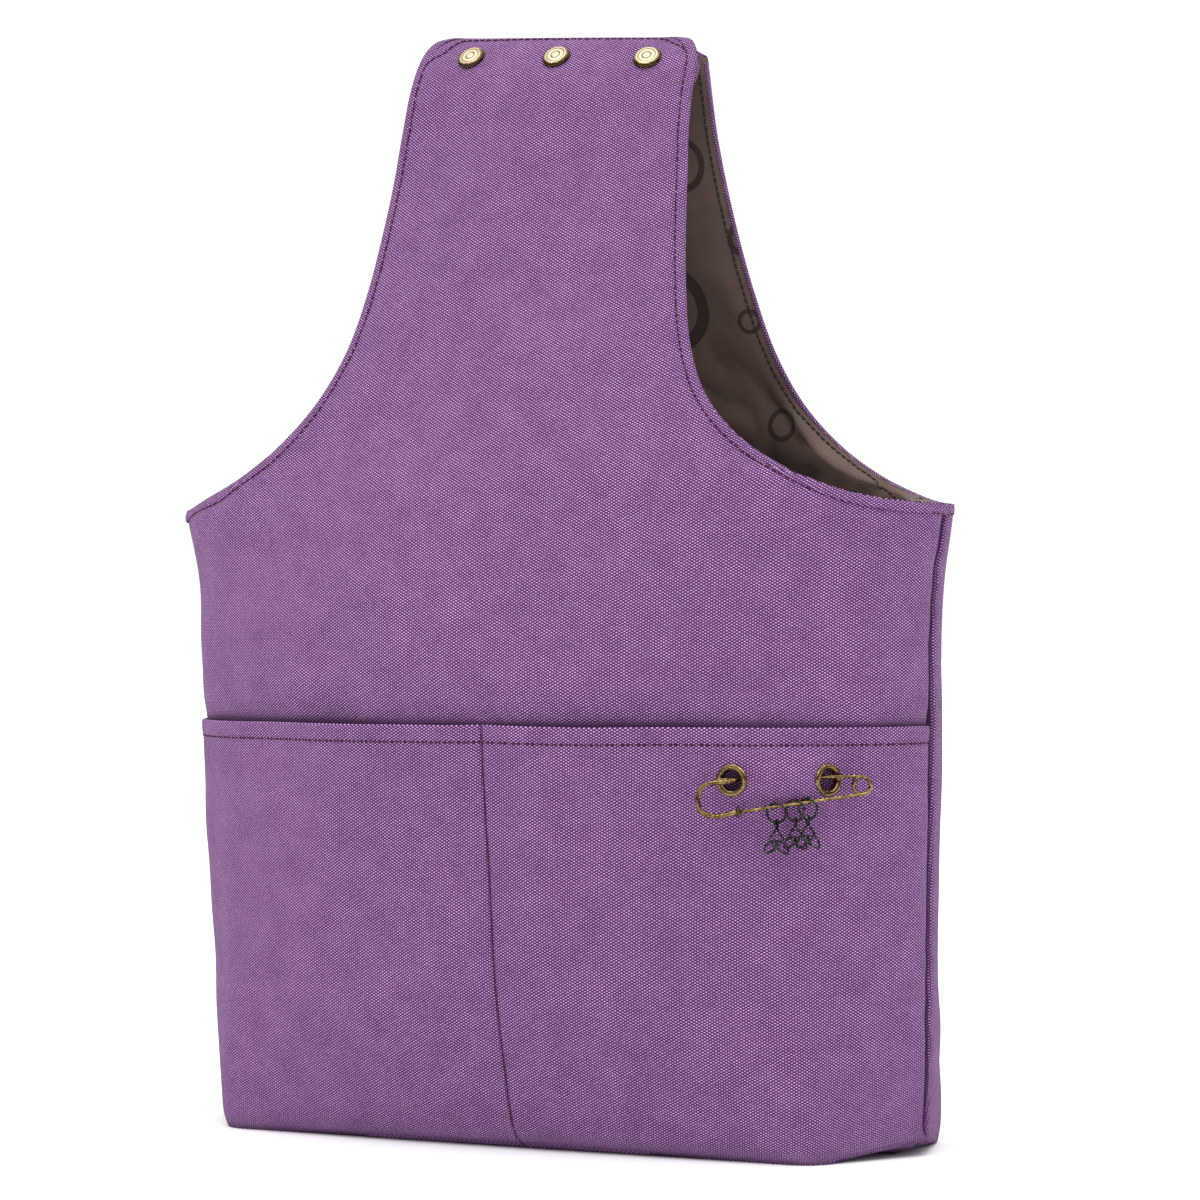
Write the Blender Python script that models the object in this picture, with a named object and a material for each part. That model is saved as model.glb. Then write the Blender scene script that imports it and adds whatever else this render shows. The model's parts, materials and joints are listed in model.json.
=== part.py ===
"""Canvas knitting bag with a lined body, a wide strap closed over the top by three snaps, a divided
front pocket, and a kilt pin with three stitch markers threaded through two eyelets in the pocket.

The bag stands on z = 0 with its origin under the middle of its base. The front faces -Y, and the two
side seams lie in the plane y = 0. Sizes below are in millimetres and MM turns them into metres.
"""
import math

import bmesh
import bpy
import numpy as np
from mathutils import Matrix, Vector

MM = 0.001

# Cloth layers, from the outside in.
CANVAS = 1.0
LINING = 0.6
LAYER_GAP = 0.4
BODY_LINING_GAP = 0.8
BODY_GAP_TOP = 330.0
BODY_GAP_FADE = 50.0
SNAP_GAP = 2.4
LAYERS = CANVAS + LAYER_GAP + LINING
TUCK = LAYERS + SNAP_GAP
POCKET_CLOTH = 1.2
SEAM_HALF_GAP = 0.15

# Columns across each panel, closer together towards the side seams.
COLUMN_STEPS = 16
DENSE = 121

# Boxed base: half length of the bottom seam, corner of the boxed end, and the lift of its T-seam.
BOTTOM_SEAM_HALF = 150.0
FRONT_CORNER_X = 134.0
BACK_CORNER_X = 150.0
BASE_CORNER_Y = 49.0
CORNER_SHARE = 0.3
BASE_ROUNDING = 12.0
T_SEAM_LIFT = 5.5
LIFT_FADE = 45.0
BOXY_UP_TO = 130.0
BASE_SHARES = (0.0, 0.4, 0.75)
BODY_TOP = 262.5

# Upright section of the body: (height, depth of the middle, half width at the side seam).
POCKET_BODY = (
    (0.0, 47.0, 165.0),
    (5.0, 57.0, 165.4),
    (15.0, 63.0, 166.0),
    (31.0, 68.5, 166.5),
    (53.0, 74.5, 166.5),
    (80.0, 79.0, 166.5),
    (110.0, 83.3, 166.5),
    (134.0, 86.3, 167.0),
    (146.0, 87.9, 167.0),
    (158.0, 89.8, 167.2),
    (173.0, 91.8, 167.5),
)
BACK_BODY = (
    (0.0, 47.0, 165.0),
    (5.0, 57.0, 165.4),
    (15.0, 63.0, 166.0),
    (31.0, 69.0, 166.5),
    (53.0, 75.0, 166.5),
    (80.0, 80.5, 166.5),
    (110.0, 84.5, 166.5),
    (140.0, 87.0, 167.0),
    (171.0, 87.5, 167.5),
    (200.0, 86.0, 168.3),
    (230.0, 81.0, 170.8),
    (262.0, 73.5, 177.0),
)
FRONT_BODY = (
    (0.0, 47.0, 165.0),
    (5.0, 57.0, 165.4),
    (15.0, 62.0, 166.0),
    (31.0, 66.0, 166.5),
    (53.0, 69.5, 166.5),
    (80.0, 73.0, 166.5),
    (110.0, 76.5, 166.5),
    (140.0, 79.6, 167.0),
    (171.0, 82.3, 167.5),
    (186.0, 82.9, 167.8),
    (202.0, 82.7, 168.4),
    (230.0, 80.0, 170.8),
    (262.0, 73.5, 177.0),
)

# Strap above the armholes: (middle depth, middle height, edge depth, edge height, half width).
FRONT_STRAP = (
    (72.8, 265.2, 16.4, 262.4, 172.4),
    (71.5, 270.0, 27.0, 263.2, 164.0),
    (67.5, 281.0, 40.5, 267.0, 148.0),
    (63.0, 294.0, 47.5, 276.0, 126.0),
    (58.5, 308.0, 50.3, 289.0, 106.0),
    (54.0, 322.0, 49.0, 306.0, 90.0),
    (48.5, 338.0, 43.5, 327.0, 79.8),
    (42.0, 356.0, 36.0, 351.0, 74.3),
    (35.7, 376.0, 29.2, 375.0, 71.0),
    (29.3, 399.0, 22.6, 399.0, 68.7),
    (24.2, 420.0, 17.7, 420.0, 67.0),
    (20.3, 438.0, 12.9, 438.0, 66.0),
)
SNAP_TAB = (
    (20.3, 438.0, 12.9, 438.0, 66.0),
    (16.8, 444.8, 10.2, 444.2, 65.6),
    (12.7, 449.85, 7.2, 449.6, 65.2),
    (8.6, 454.9, 4.4, 454.6, 64.4),
    (4.2, 458.6, 1.8, 458.2, 63.4),
    (-0.6, 460.0, -1.4, 459.8, 61.0),
    (-5.2, 458.9, -4.8, 458.9, 55.0),
)
BACK_STRAP = (
    (72.9, 265.2, 16.4, 262.4, 172.4),
    (72.0, 270.0, 27.0, 263.2, 164.0),
    (69.0, 281.0, 41.0, 267.0, 148.0),
    (65.0, 294.0, 50.0, 276.0, 126.0),
    (60.5, 308.0, 53.5, 289.0, 106.0),
    (55.5, 322.0, 51.5, 306.0, 90.0),
    (48.0, 338.0, 43.3, 327.0, 79.8),
    (39.5, 356.0, 33.8, 351.0, 74.3),
    (30.5, 376.0, 24.3, 375.0, 71.0),
    (22.0, 399.0, 15.9, 399.0, 68.7),
    (16.6, 420.0, 10.8, 420.0, 67.0),
    (12.5, 438.0, 6.4, 438.0, 66.0),
    (9.0, 447.0, 4.4, 446.0, 65.6),
    (4.8, 453.4, 3.2, 452.2, 65.0),
)
STRAP_ARC = math.radians(40.0)
FIRST_TAB_STEP = 7.5
CREASE_GAP = 0.6
TUCKED_END = 3.6
TUCKED_HALF_WIDTH = 64.5

# Sideways lean of the whole bag with height: (height, shift). The strap's rows also tilt near the top.
LEAN = ((0.0, 0.0), (171.0, 0.0), (262.0, -3.0), (330.0, 0.0), (420.0, 0.0), (460.0, 1.5))
TOP_TILT = 0.06
TILT_FROM = 390.0
TILT_OVER = 60.0

# Front pocket: its station level with the eyelets, the extra rows and columns round them, the strip
# that divides it with its gaps to the cloth before and behind it, and the room left at its edges.
EYELET_STATION = 9
EYELET_ROWS = (138.0, 170.0, 4.0)
EYELET_COLUMNS = (-32.0, 33.0, 4.0)
RIGHT_HALF = 40.0
DIVIDER_X = 8.5
DIVIDER_WIDTH = 3.0
DIVIDER_BOTTOM = 40.0
DIVIDER_TOP = 170.0
DIVIDER_FRONT_GAP = 1.0
DIVIDER_BACK_GAP = 0.3
POCKET_SIDE_GAP = 0.35
MOUTH_MARGIN = 4.0

# Snaps on the tab: middle one's x, spacing, and the rows of SNAP_TAB that hold the flat they sit on.
SNAP_MIDDLE_X = 4.0
SNAP_SPACING = 41.0
SNAP_ROW = 2
CAP_RADIUS = 6.0
CAP_HEIGHT = 2.0
SOCKET_RADIUS = 4.6
SOCKET_BORE = 2.7
SOCKET_HEIGHT = 0.9
STUD_FLANGE_RADIUS = 4.0
STUD_FLANGE_HEIGHT = 0.4
STUD_RADIUS = 1.8
STUD_HEIGHT = 1.5
RING_RADIUS = 4.2
RING_BORE = 1.6
RING_HEIGHT = 0.8

# Kilt pin: a frame of its own, across the pocket between the two eyelets.
PIN_ORIGIN = (126.5, -59.8, 152.5)
PIN_TURN = math.radians(32.0)
EYELET_REACH = 19.0
EYELET_SLOPE = math.radians(29.0)
HUMP_RISE = 8.0
HUMP_REACH = 10.0
HUMP_HEIGHT = 10.0
HUMP_AREA = 45.0
POCKET_FRONT = -25.0
FLAT_RADIUS = 7.6
FLAT_FADE = 6.0
EYELET_RADIUS = 6.4
EYELET_BORE = 4.25
BARREL_RADIUS = 4.65
CLOTH_HOLE = 5.0
FLANGE = 0.6
WASHER = 0.5
WIRE = 0.7
HEAD_WIRE = 1.0
COIL_CENTRE = (32.0, -2.0)
COIL_RADIUS = 3.4
ARM_COIL_LEVEL = 2.5
RAIL_LEVEL = 4.3
COLLAR_LEVEL = 4.2
COLLAR_AT = (-17.0, -12.3)
COLLAR_PROFILE = ((0.0, -0.6), (1.5, -0.6), (2.1, -0.4), (2.35, 0.0), (2.1, 0.4), (1.5, 0.6), (0.0, 0.6))
WIRE_END_GAP = 0.9

# Routes of the pin's arm and head as (along, out, up) in its own frame, before the arm's coil.
COIL_TOP = COIL_CENTRE[1] + COIL_RADIUS
ARM_ROUTE = (
    (-26.0, 0.3, 0.2), (-23.0, 0.0, 0.3), (-19.0, -0.5, 0.4), (-14.2, -1.2, 0.6), (-4.0, -2.0, 0.8),
    (5.0, -2.0, 0.9), (14.2, -1.2, 1.1), (19.0, -0.4, 1.2), (23.5, 0.7, COIL_TOP - 0.1),
    (28.0, 2.0, COIL_TOP))
HEAD_ROUTE = (
    (COLLAR_AT[0] - WIRE_END_GAP, COLLAR_LEVEL, COLLAR_AT[1] - 0.1), (-22.0, COLLAR_LEVEL, -13.3),
    (-27.0, COLLAR_LEVEL, -13.9), (-31.5, COLLAR_LEVEL - 0.1, -12.0), (-33.0, COLLAR_LEVEL - 0.3, -7.4),
    (-31.3, 3.6, -2.6), (-27.0, 3.6, -0.8), (-22.5, 3.6, -0.6), (-18.2, 3.6, 0.3))
RAIL_STRAIGHT_END = 28.0
COIL_TURN = 1.75 * math.pi
ARM_TIP_RADII = (0.25, 0.45, 0.6)

# Stitch markers on the rail: where each ring hangs, how far its plane turns, and its charm's size.
MARKERS = ((-2.0, 31.0, 1.0), (5.5, 32.0, 0.94), (10.5, 32.0, 0.97))
RING_MEAN = 3.9
RING_WIRE = 0.45
CHARM_WIRE = 0.4
HOOK_GAP = 0.12
LOOP_RADIUS = 1.5
LOOP_GAP = 0.1

# A charm's wires as (across, up) from the foot of its loop: a lozenge, and two leaves that start in it.
LOZENGE = ((0.0, -0.1), (1.5, -2.2), (3.0, -4.4), (1.5, -6.4), (0.0, -8.4), (-1.5, -6.4), (-3.0, -4.4),
           (-1.5, -2.2))
LEAF_START = (0.3, -5.2)
LEAF_LEAN = 0.8
LEAF_LENGTH = 6.6
LEAF_HALF_WIDTH = 2.1

CLOTH_COLOUR = (0.36, 0.27, 0.42)
LINING_COLOUR = (0.10, 0.06, 0.05)
METAL_COLOUR = (0.42, 0.33, 0.22)
THREAD_COLOUR = (0.16, 0.07, 0.08)


def clear_scene():
    for obj in list(bpy.data.objects):
        bpy.data.objects.remove(obj, do_unlink=True)


def material(name, colour, roughness, metallic=0.0):
    made = bpy.data.materials.get(name) or bpy.data.materials.new(name)
    made.use_nodes = True
    shader = made.node_tree.nodes["Principled BSDF"]
    shader.inputs["Base Color"].default_value = (*colour, 1.0)
    shader.inputs["Roughness"].default_value = roughness
    shader.inputs["Metallic"].default_value = metallic
    made.diffuse_color = (*colour, 1.0)
    return made


def smooth_step(value):
    value = np.clip(value, 0.0, 1.0)
    return value * value * (3.0 - 2.0 * value)


def respaced(points, shares):
    """Points at the given shares of a line's length, where 0 is its start and 1 its end."""
    steps = np.linalg.norm(np.diff(points, axis=0), axis=1)
    along = np.concatenate([[0.0], np.cumsum(steps)])
    along /= along[-1]
    return np.stack([np.interp(shares, along, points[:, i]) for i in range(points.shape[1])], axis=1)


def column_shares(extra=()):
    """Shares of the way from the left seam to the right seam, closer together near the seams."""
    t = np.linspace(-1.0, 1.0, COLUMN_STEPS + 1)
    u = t * (1.25 - 0.25 * t * t)
    return np.array(sorted(set(np.round(0.5 + 0.5 * u, 6)) | set(extra)))


def corner_x(side):
    return BACK_CORNER_X if side > 0 else FRONT_CORNER_X


def boxy_section(depth, half_width, side):
    """Plan of the boxed base: straight front, cut corners and a pointed end, all slightly rounded."""
    corner = half_width / POCKET_BODY[0][2] * corner_x(side)
    corner_depth = BASE_CORNER_Y + CORNER_SHARE * (depth - POCKET_BODY[0][1])
    middle = [(corner * x, depth + (corner_depth - depth) * x * x) for x in np.linspace(-1.0, 1.0, 9)]
    line = np.array([(-half_width, 0.0), *middle, (half_width, 0.0)])
    dense = respaced(line, np.linspace(0.0, 1.0, DENSE))
    step = np.linalg.norm(dense[1] - dense[0])
    reach = int(round(BASE_ROUNDING / step))
    rounded = dense.copy()
    for i in range(DENSE):
        window = min(reach, i, DENSE - 1 - i)
        rounded[i] = dense[i - window:i + window + 1].mean(axis=0)
    return rounded


def oval_section(depth, half_width, turn=math.pi / 2):
    """Half an oval, or the middle stretch of one that turns by this angle each way."""
    angle = np.linspace(-turn, turn, DENSE)
    bow = (np.cos(angle) - math.cos(turn)) / (1.0 - math.cos(turn))
    return np.stack([half_width * np.sin(angle) / math.sin(turn), depth * bow], axis=1)


def lean_at(height):
    heights, shifts = zip(*LEAN)
    return np.interp(height, heights, shifts)


def tilt_at(height):
    """Slope of the strap's rows, which dip towards +x at the top."""
    return TOP_TILT * smooth_step((height - TILT_FROM) / TILT_OVER)


def body_row(height, depth, half_width, shares, side):
    oval = respaced(oval_section(depth, half_width), shares)
    boxy = respaced(boxy_section(depth, half_width, side), shares)
    mix = float(smooth_step(height / BOXY_UP_TO))
    plan = boxy + (oval - boxy) * mix
    lift = T_SEAM_LIFT * smooth_step((np.abs(plan[:, 0]) - corner_x(side)) / (half_width - corner_x(side)))
    z = height + lift * max(0.0, 1.0 - height / LIFT_FADE)
    y = side * np.maximum(plan[:, 1], SEAM_HALF_GAP)
    return np.stack([plan[:, 0] + lean_at(height), y, z], axis=1)


def base_rows(first_row, side):
    """Rows under the base, from the bottom seam out to the base's edge."""
    rows = []
    for share in BASE_SHARES:
        row = first_row.copy()
        squeeze = BOTTOM_SEAM_HALF / np.abs(first_row[:, 0]).max()
        row[:, 0] *= squeeze + (1.0 - squeeze) * share
        row[:, 1] = side * (SEAM_HALF_GAP + (np.abs(first_row[:, 1]) - SEAM_HALF_GAP) * share)
        row[:, 2] *= share
        rows.append(row)
    return rows


def strap_row(station, shares, side):
    depth, height, edge_depth, edge_height, half_width = station
    share = min(max(edge_depth / depth if depth > 0.0 else 1.0, 0.0), 1.0)
    turn = max(math.acos(share), STRAP_ARC) if depth > 10.0 else STRAP_ARC
    section = respaced(oval_section(1.0, half_width, turn), shares)
    y = side * (edge_depth + (depth - edge_depth) * section[:, 1])
    z = edge_height + (height - edge_height) * section[:, 1]
    return np.stack([section[:, 0] + lean_at(z), y, z - section[:, 0] * tilt_at(z)], axis=1)


def body_grid(body, shares, side):
    rows = [body_row(*station, shares, side) for station in body]
    return base_rows(rows[0], side) + rows


def inward(grid, side):
    """Unit normals of a grid of points, pointing into the bag. Columns run from -x to +x."""
    across = np.gradient(grid, axis=1)
    along = np.gradient(grid, axis=0)
    normal = np.cross(across, along) * side
    normal /= np.linalg.norm(normal, axis=2, keepdims=True)
    return normal


def profile_inward(grid, side):
    """The same for a panel without folds, whose columns all follow the profile of its middle one."""
    across = np.gradient(grid, axis=1)
    middle = grid[:, grid.shape[1] // 2]
    along = np.gradient(middle, axis=0)[:, None, :] * np.array([0.0, 1.0, 1.0])
    normal = np.cross(across, np.broadcast_to(along, grid.shape)) * side
    normal /= np.linalg.norm(normal, axis=2, keepdims=True)
    return normal


def body_inward(grid, side):
    """The same for a panel that starts under the base, whose rows there face straight down."""
    normal = profile_inward(grid, side)
    base = len(BASE_SHARES)
    normal[:base] = (0.0, 0.0, 1.0)
    normal[base] = normal[base - 1] + normal[base + 1]
    normal[base] /= np.linalg.norm(normal[base], axis=1, keepdims=True)
    return normal


def layer(grid, normals, start, thickness, side=None):
    """The two faces of one cloth layer that starts this far in. A side keeps both on its half."""
    faces = []
    for depth in (start, start + thickness):
        face = grid + normals * np.broadcast_to(depth, grid.shape[:2])[:, :, None]
        if side is not None:
            in_body = grid[:, :, 2] < BODY_TOP
            held = side * np.maximum(side * face[:, :, 1], SEAM_HALF_GAP)
            face[:, :, 1] = np.where(in_body, held, face[:, :, 1])
        faces.append(face)
    return faces


def lining_gap(grid):
    """The lining hangs a little looser in the body than in the strap."""
    loose = smooth_step((BODY_GAP_TOP - grid[:, :, 2]) / BODY_GAP_FADE)
    return LAYER_GAP + (BODY_LINING_GAP - LAYER_GAP) * loose


def finish(name, mesh, made_of, smooth_angle=40.0):
    obj = bpy.data.objects.new(name, mesh)
    bpy.context.scene.collection.objects.link(obj)
    mesh.materials.append(made_of)
    mesh.shade_smooth()
    mesh.set_sharp_from_angle(angle=math.radians(smooth_angle))
    return obj


def shell(name, outer, inner, made_of, base=0):
    """A closed sheet of cloth between two grids of points, whose first rows may be under the base."""
    rows, columns = outer.shape[:2]
    built = bmesh.new()
    faces = []
    for grid in (outer, inner):
        faces.append([[built.verts.new(Vector(point) * MM) for point in row] for row in grid])
    front, back = faces
    for i in range(rows - 1):
        for j in range(columns - 1):
            # Layers that follow one grid take the same diagonals, so they stay apart.
            corners = [(i, j), (i, j + 1), (i + 1, j + 1), (i + 1, j)]
            if (j < columns // 2) != (i < base):
                corners = corners[1:] + corners[:1]
            for triangle in (corners[:3], [corners[0], corners[2], corners[3]]):
                built.faces.new([front[a][b] for a, b in triangle])
                built.faces.new([back[a][b] for a, b in reversed(triangle)])
    edge = [(0, j) for j in range(columns)]
    edge += [(i, columns - 1) for i in range(1, rows)]
    edge += [(rows - 1, j) for j in range(columns - 2, -1, -1)]
    edge += [(i, 0) for i in range(rows - 2, 0, -1)]
    for (i, j), (k, m) in zip(edge, edge[1:] + edge[:1]):
        built.faces.new((front[k][m], front[i][j], back[i][j], back[k][m]))
    bmesh.ops.recalc_face_normals(built, faces=built.faces)
    mesh = bpy.data.meshes.new(name)
    built.to_mesh(mesh)
    built.free()
    return finish(name, mesh, made_of)


def turned(name, profile, made_of, matrix, steps=16):
    """A round piece: a closed (radius, height) profile turned about the local z axis."""
    built = bmesh.new()
    rings = []
    for radius, height in profile:
        if radius == 0.0:
            rings.append([built.verts.new((0.0, 0.0, height * MM))])
            continue
        ring = []
        for i in range(steps):
            angle = 2 * math.pi * i / steps
            ring.append(built.verts.new(
                (radius * math.cos(angle) * MM, radius * math.sin(angle) * MM, height * MM)))
        rings.append(ring)
    closed = len(rings[0]) > 1
    pairs = list(zip(rings, rings[1:])) + ([(rings[-1], rings[0])] if closed else [])
    for low, high in pairs:
        for i in range(steps):
            k = (i + 1) % steps
            corners = [low[i % len(low)], low[k % len(low)], high[k % len(high)], high[i % len(high)]]
            built.faces.new(list(dict.fromkeys(corners)))
    bmesh.ops.recalc_face_normals(built, faces=built.faces)
    mesh = bpy.data.meshes.new(name)
    built.to_mesh(mesh)
    built.free()
    obj = finish(name, mesh, made_of)
    obj.matrix_world = matrix
    return obj


def tube(name, points, radii, made_of, sides=8, ring=False, matrix=None):
    """A wire along points, with flat closed ends, or joined end to end as a ring."""
    points = [Vector(point) * MM for point in points]
    count = len(points)
    radii = [radii] * count if isinstance(radii, float) else radii
    built = bmesh.new()
    loops = []
    across = None
    for i, point in enumerate(points):
        after = points[(i + 1) % count] if ring or i < count - 1 else point
        before = points[i - 1] if ring or i > 0 else point
        along = (after - before).normalized()
        if across is None:
            across = along.orthogonal().normalized()
        across = (across - along * across.dot(along)).normalized()
        second = along.cross(across)
        loop = []
        for k in range(sides):
            angle = 2 * math.pi * k / sides
            out = across * math.cos(angle) + second * math.sin(angle)
            loop.append(built.verts.new(point + out * radii[i] * MM))
        loops.append(loop)
    pairs = list(zip(loops, loops[1:]))
    if ring:
        turn = min(range(sides), key=lambda k: (loops[0][k].co - loops[-1][0].co).length)
        pairs.append((loops[-1], loops[0][turn:] + loops[0][:turn]))
    for first, second in pairs:
        for k in range(sides):
            m = (k + 1) % sides
            built.faces.new((first[k], first[m], second[m], second[k]))
    if not ring:
        built.faces.new(loops[0])
        built.faces.new(loops[-1])
    bmesh.ops.recalc_face_normals(built, faces=built.faces)
    mesh = bpy.data.meshes.new(name)
    built.to_mesh(mesh)
    built.free()
    obj = finish(name, mesh, made_of)
    if matrix:
        obj.matrix_world = matrix
    return obj


def bend(points, steps):
    """A smooth curve through a few points, with this many steps between each two."""
    points = [Vector(point) for point in points]
    padded = [points[0] * 2 - points[1]] + points + [points[-1] * 2 - points[-2]]
    curve = []
    for a, b, c, d in zip(padded, padded[1:], padded[2:], padded[3:]):
        for i in range(steps):
            t = i / steps
            curve.append(0.5 * ((2 * b) + (c - a) * t + (2 * a - 5 * b + 4 * c - d) * t * t
                                + (3 * b - a - 3 * c + d) * t * t * t))
    return curve + [points[-1]]


def pin_axes():
    """The pin's own frame: x along it, y out of the pocket and z up."""
    along = Vector((math.cos(PIN_TURN), math.sin(PIN_TURN), 0.0))
    out = Vector((math.sin(PIN_TURN), -math.cos(PIN_TURN), 0.0))
    return along, out


def pin_point(x, level, z):
    along, out = pin_axes()
    return Vector(PIN_ORIGIN) + along * x + out * level + Vector((0.0, 0.0, z))


def hump(x, z):
    """How far the pocket's cloth stands up where the pin's arm passes behind it."""
    across = 1.0 - smooth_step((np.abs(x) - (EYELET_REACH - HUMP_REACH)) / (2 * HUMP_REACH))
    return HUMP_RISE * across * np.exp(-((z / HUMP_HEIGHT) ** 2))


def with_hump(grid):
    """The pocket's grid, raised between the eyelets and flat where each of them is set."""
    along, out = (np.array(axis) for axis in pin_axes())
    offset = grid - np.array(PIN_ORIGIN)
    x, level, z = offset @ along, offset @ out, offset[:, :, 2]
    near = (np.abs(x) < HUMP_AREA) & (level > POCKET_FRONT)
    wanted = level + hump(x, z)
    for way in (-1.0, 1.0):
        plane = -way * (x - way * EYELET_REACH) * math.tan(EYELET_SLOPE)
        radius = np.hypot((x - way * EYELET_REACH) / math.cos(EYELET_SLOPE), z)
        flat = 1.0 - smooth_step((radius - FLAT_RADIUS) / FLAT_FADE)
        wanted = wanted + (plane - wanted) * flat
    rise = np.where(near, wanted - level, 0.0)
    return grid + rise[:, :, None] * out


def pocket_shares():
    """Columns of the pocket: those of the front panel, with closer ones around the eyelets."""
    row = body_row(*POCKET_BODY[EYELET_STATION], np.linspace(0.0, 1.0, DENSE), -1)
    along, _ = (np.array(axis) for axis in pin_axes())
    x = (row - np.array(PIN_ORIGIN)) @ along
    right = row[:, 0] > RIGHT_HALF
    wanted = np.arange(*EYELET_COLUMNS)
    extra = np.interp(wanted, x[right], np.linspace(0.0, 1.0, DENSE)[right])
    keep = [share for share in column_shares() if np.abs(extra - share).min() > 0.006]
    return np.array(sorted(set(keep) | set(np.round(extra, 6))))


def dense_rows(body, low, high, step):
    """Body stations with extra ones at this spacing between two heights."""
    heights = [station[0] for station in body]
    added = [height for height in np.arange(low, high, step) if min(abs(height - h) for h in heights) > 2.0]
    merged = sorted(heights + added)
    depths = np.interp(merged, heights, [station[1] for station in body])
    widths = np.interp(merged, heights, [station[2] for station in body])
    return list(zip(merged, depths, widths))


def cut(target, name, radius, matrix, reach=8.0):
    """Bores a round hole along the local z axis of the matrix."""
    cutter = turned(name, [(0.0, -reach), (radius, -reach), (radius, reach), (0.0, reach)],
                    material("cutter", (0.5, 0.5, 0.5), 0.5), matrix, 24)
    cutter.hide_render = True
    cutter.display_type = "WIRE"
    hole = target.modifiers.new(name, "BOOLEAN")
    hole.operation = "DIFFERENCE"
    hole.solver = "EXACT"
    hole.object = cutter


def facing(point, normal, up=(0.0, 0.0, 1.0)):
    """A matrix at a point, in metres, whose z axis is the normal."""
    z = Vector(normal).normalized()
    x = Vector(up).cross(z).normalized()
    y = z.cross(x)
    turn = Matrix((x, y, z)).transposed().to_4x4()
    return Matrix.Translation(Vector(point) * MM) @ turn


def tucked(rows):
    """Tab stations moved in by the layers and the snaps' gap, for the end of the back strap under it."""
    middle = np.array([(row[0], row[1]) for row in rows])
    edge = np.array([(row[2], row[3]) for row in rows])
    moved = []
    for line in (middle, edge):
        along = np.gradient(line, axis=0)
        along /= np.linalg.norm(along, axis=1, keepdims=True)
        moved.append(line + np.stack([-along[:, 1], along[:, 0]], axis=1) * TUCK)
    return [(*moved[0][i], *moved[1][i], TUCKED_HALF_WIDTH) for i in range(len(rows))]


def between(first, second, share):
    return tuple(a + (b - a) * share for a, b in zip(first, second))


def as_back(station):
    """A front station as seen from the back: depths change sign."""
    return (-station[0], station[1], -station[2], station[3], station[4])


def back_stations():
    """The back strap goes up, over the top and down inside the tab."""
    low_end = between(SNAP_TAB[0], SNAP_TAB[1], TUCKED_END / FIRST_TAB_STEP)
    over = tucked([low_end, *SNAP_TAB[1:6]])
    return list(BACK_STRAP) + [as_back(station) for station in reversed(over)]


def make_bag(canvas, lining):
    shares = column_shares()
    front = np.array(body_grid(FRONT_BODY, shares, -1) + [strap_row(s, shares, -1) for s in FRONT_STRAP])
    front_in = body_inward(front, -1)
    # Where the pocket covers it, above the base's edge, the front panel lies one cloth further in.
    covered = np.zeros(front.shape[:2])
    covered[len(BASE_SHARES) + 1:] = POCKET_CLOTH + POCKET_SIDE_GAP
    covered[front[:, :, 2] > POCKET_BODY[-1][0] + MOUTH_MARGIN] = 0.0
    front = front + front_in * covered[:, :, None]
    make_layers("front", front, body_inward(front, -1), -1, canvas, lining)
    back = np.array(body_grid(BACK_BODY, shares, 1) + [strap_row(s, shares, 1) for s in back_stations()])
    make_layers("back", back, body_inward(back, 1), 1, canvas, lining)
    first = between(SNAP_TAB[0], SNAP_TAB[1], CREASE_GAP / FIRST_TAB_STEP)
    tab = np.array([strap_row(s, shares, -1) for s in (first, *SNAP_TAB[1:])])
    tab_in = profile_inward(tab, -1)
    shell("snap_tab", *layer(tab, tab_in, 0.0, CANVAS), canvas)
    shell("snap_tab_lining", *layer(tab, tab_in, CANVAS + LAYER_GAP, LINING), lining)


def make_layers(name, grid, normals, side, canvas, lining):
    base = len(BASE_SHARES)
    shell(name + "_panel", *layer(grid, normals, 0.0, CANVAS, side), canvas, base)
    shell(name + "_lining", *layer(grid, normals, CANVAS + lining_gap(grid), LINING, side), lining, base)


def make_pocket(canvas, thread):
    shares = pocket_shares()
    body = dense_rows(POCKET_BODY[1:], *EYELET_ROWS)
    grid = np.array([body_row(*station, shares, -1) for station in body])
    grid = with_hump(grid)
    pocket = shell("pocket_panel", *layer(grid, inward(grid, -1), 0.0, POCKET_CLOTH, -1), canvas)
    for side, way in (("left", -1.0), ("right", 1.0)):
        cut(pocket, "cutter_" + side, CLOTH_HOLE, eyelet_matrix(way))
    make_divider(thread)


def make_divider(thread):
    """The row of stitches that joins the pocket to the front panel, as one thin strip between them."""
    heights = np.linspace(DIVIDER_BOTTOM, DIVIDER_TOP, 8)
    pocket_depth = np.interp(heights, [s[0] for s in POCKET_BODY], [s[1] for s in POCKET_BODY])
    front_depth = np.interp(heights, [s[0] for s in FRONT_BODY], [s[1] for s in FRONT_BODY])
    outer_depth = pocket_depth - POCKET_CLOTH - DIVIDER_FRONT_GAP
    inner_depth = front_depth - POCKET_CLOTH + DIVIDER_BACK_GAP
    x = DIVIDER_X + DIVIDER_WIDTH * np.array([-0.5, 0.5])
    outer = np.array([[(v, -depth, z) for v in x] for z, depth in zip(heights, outer_depth)])
    inner = np.array([[(v, -depth, z) for v in x] for z, depth in zip(heights, inner_depth)])
    shell("pocket_divider_stitching", outer, inner, thread)


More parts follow.
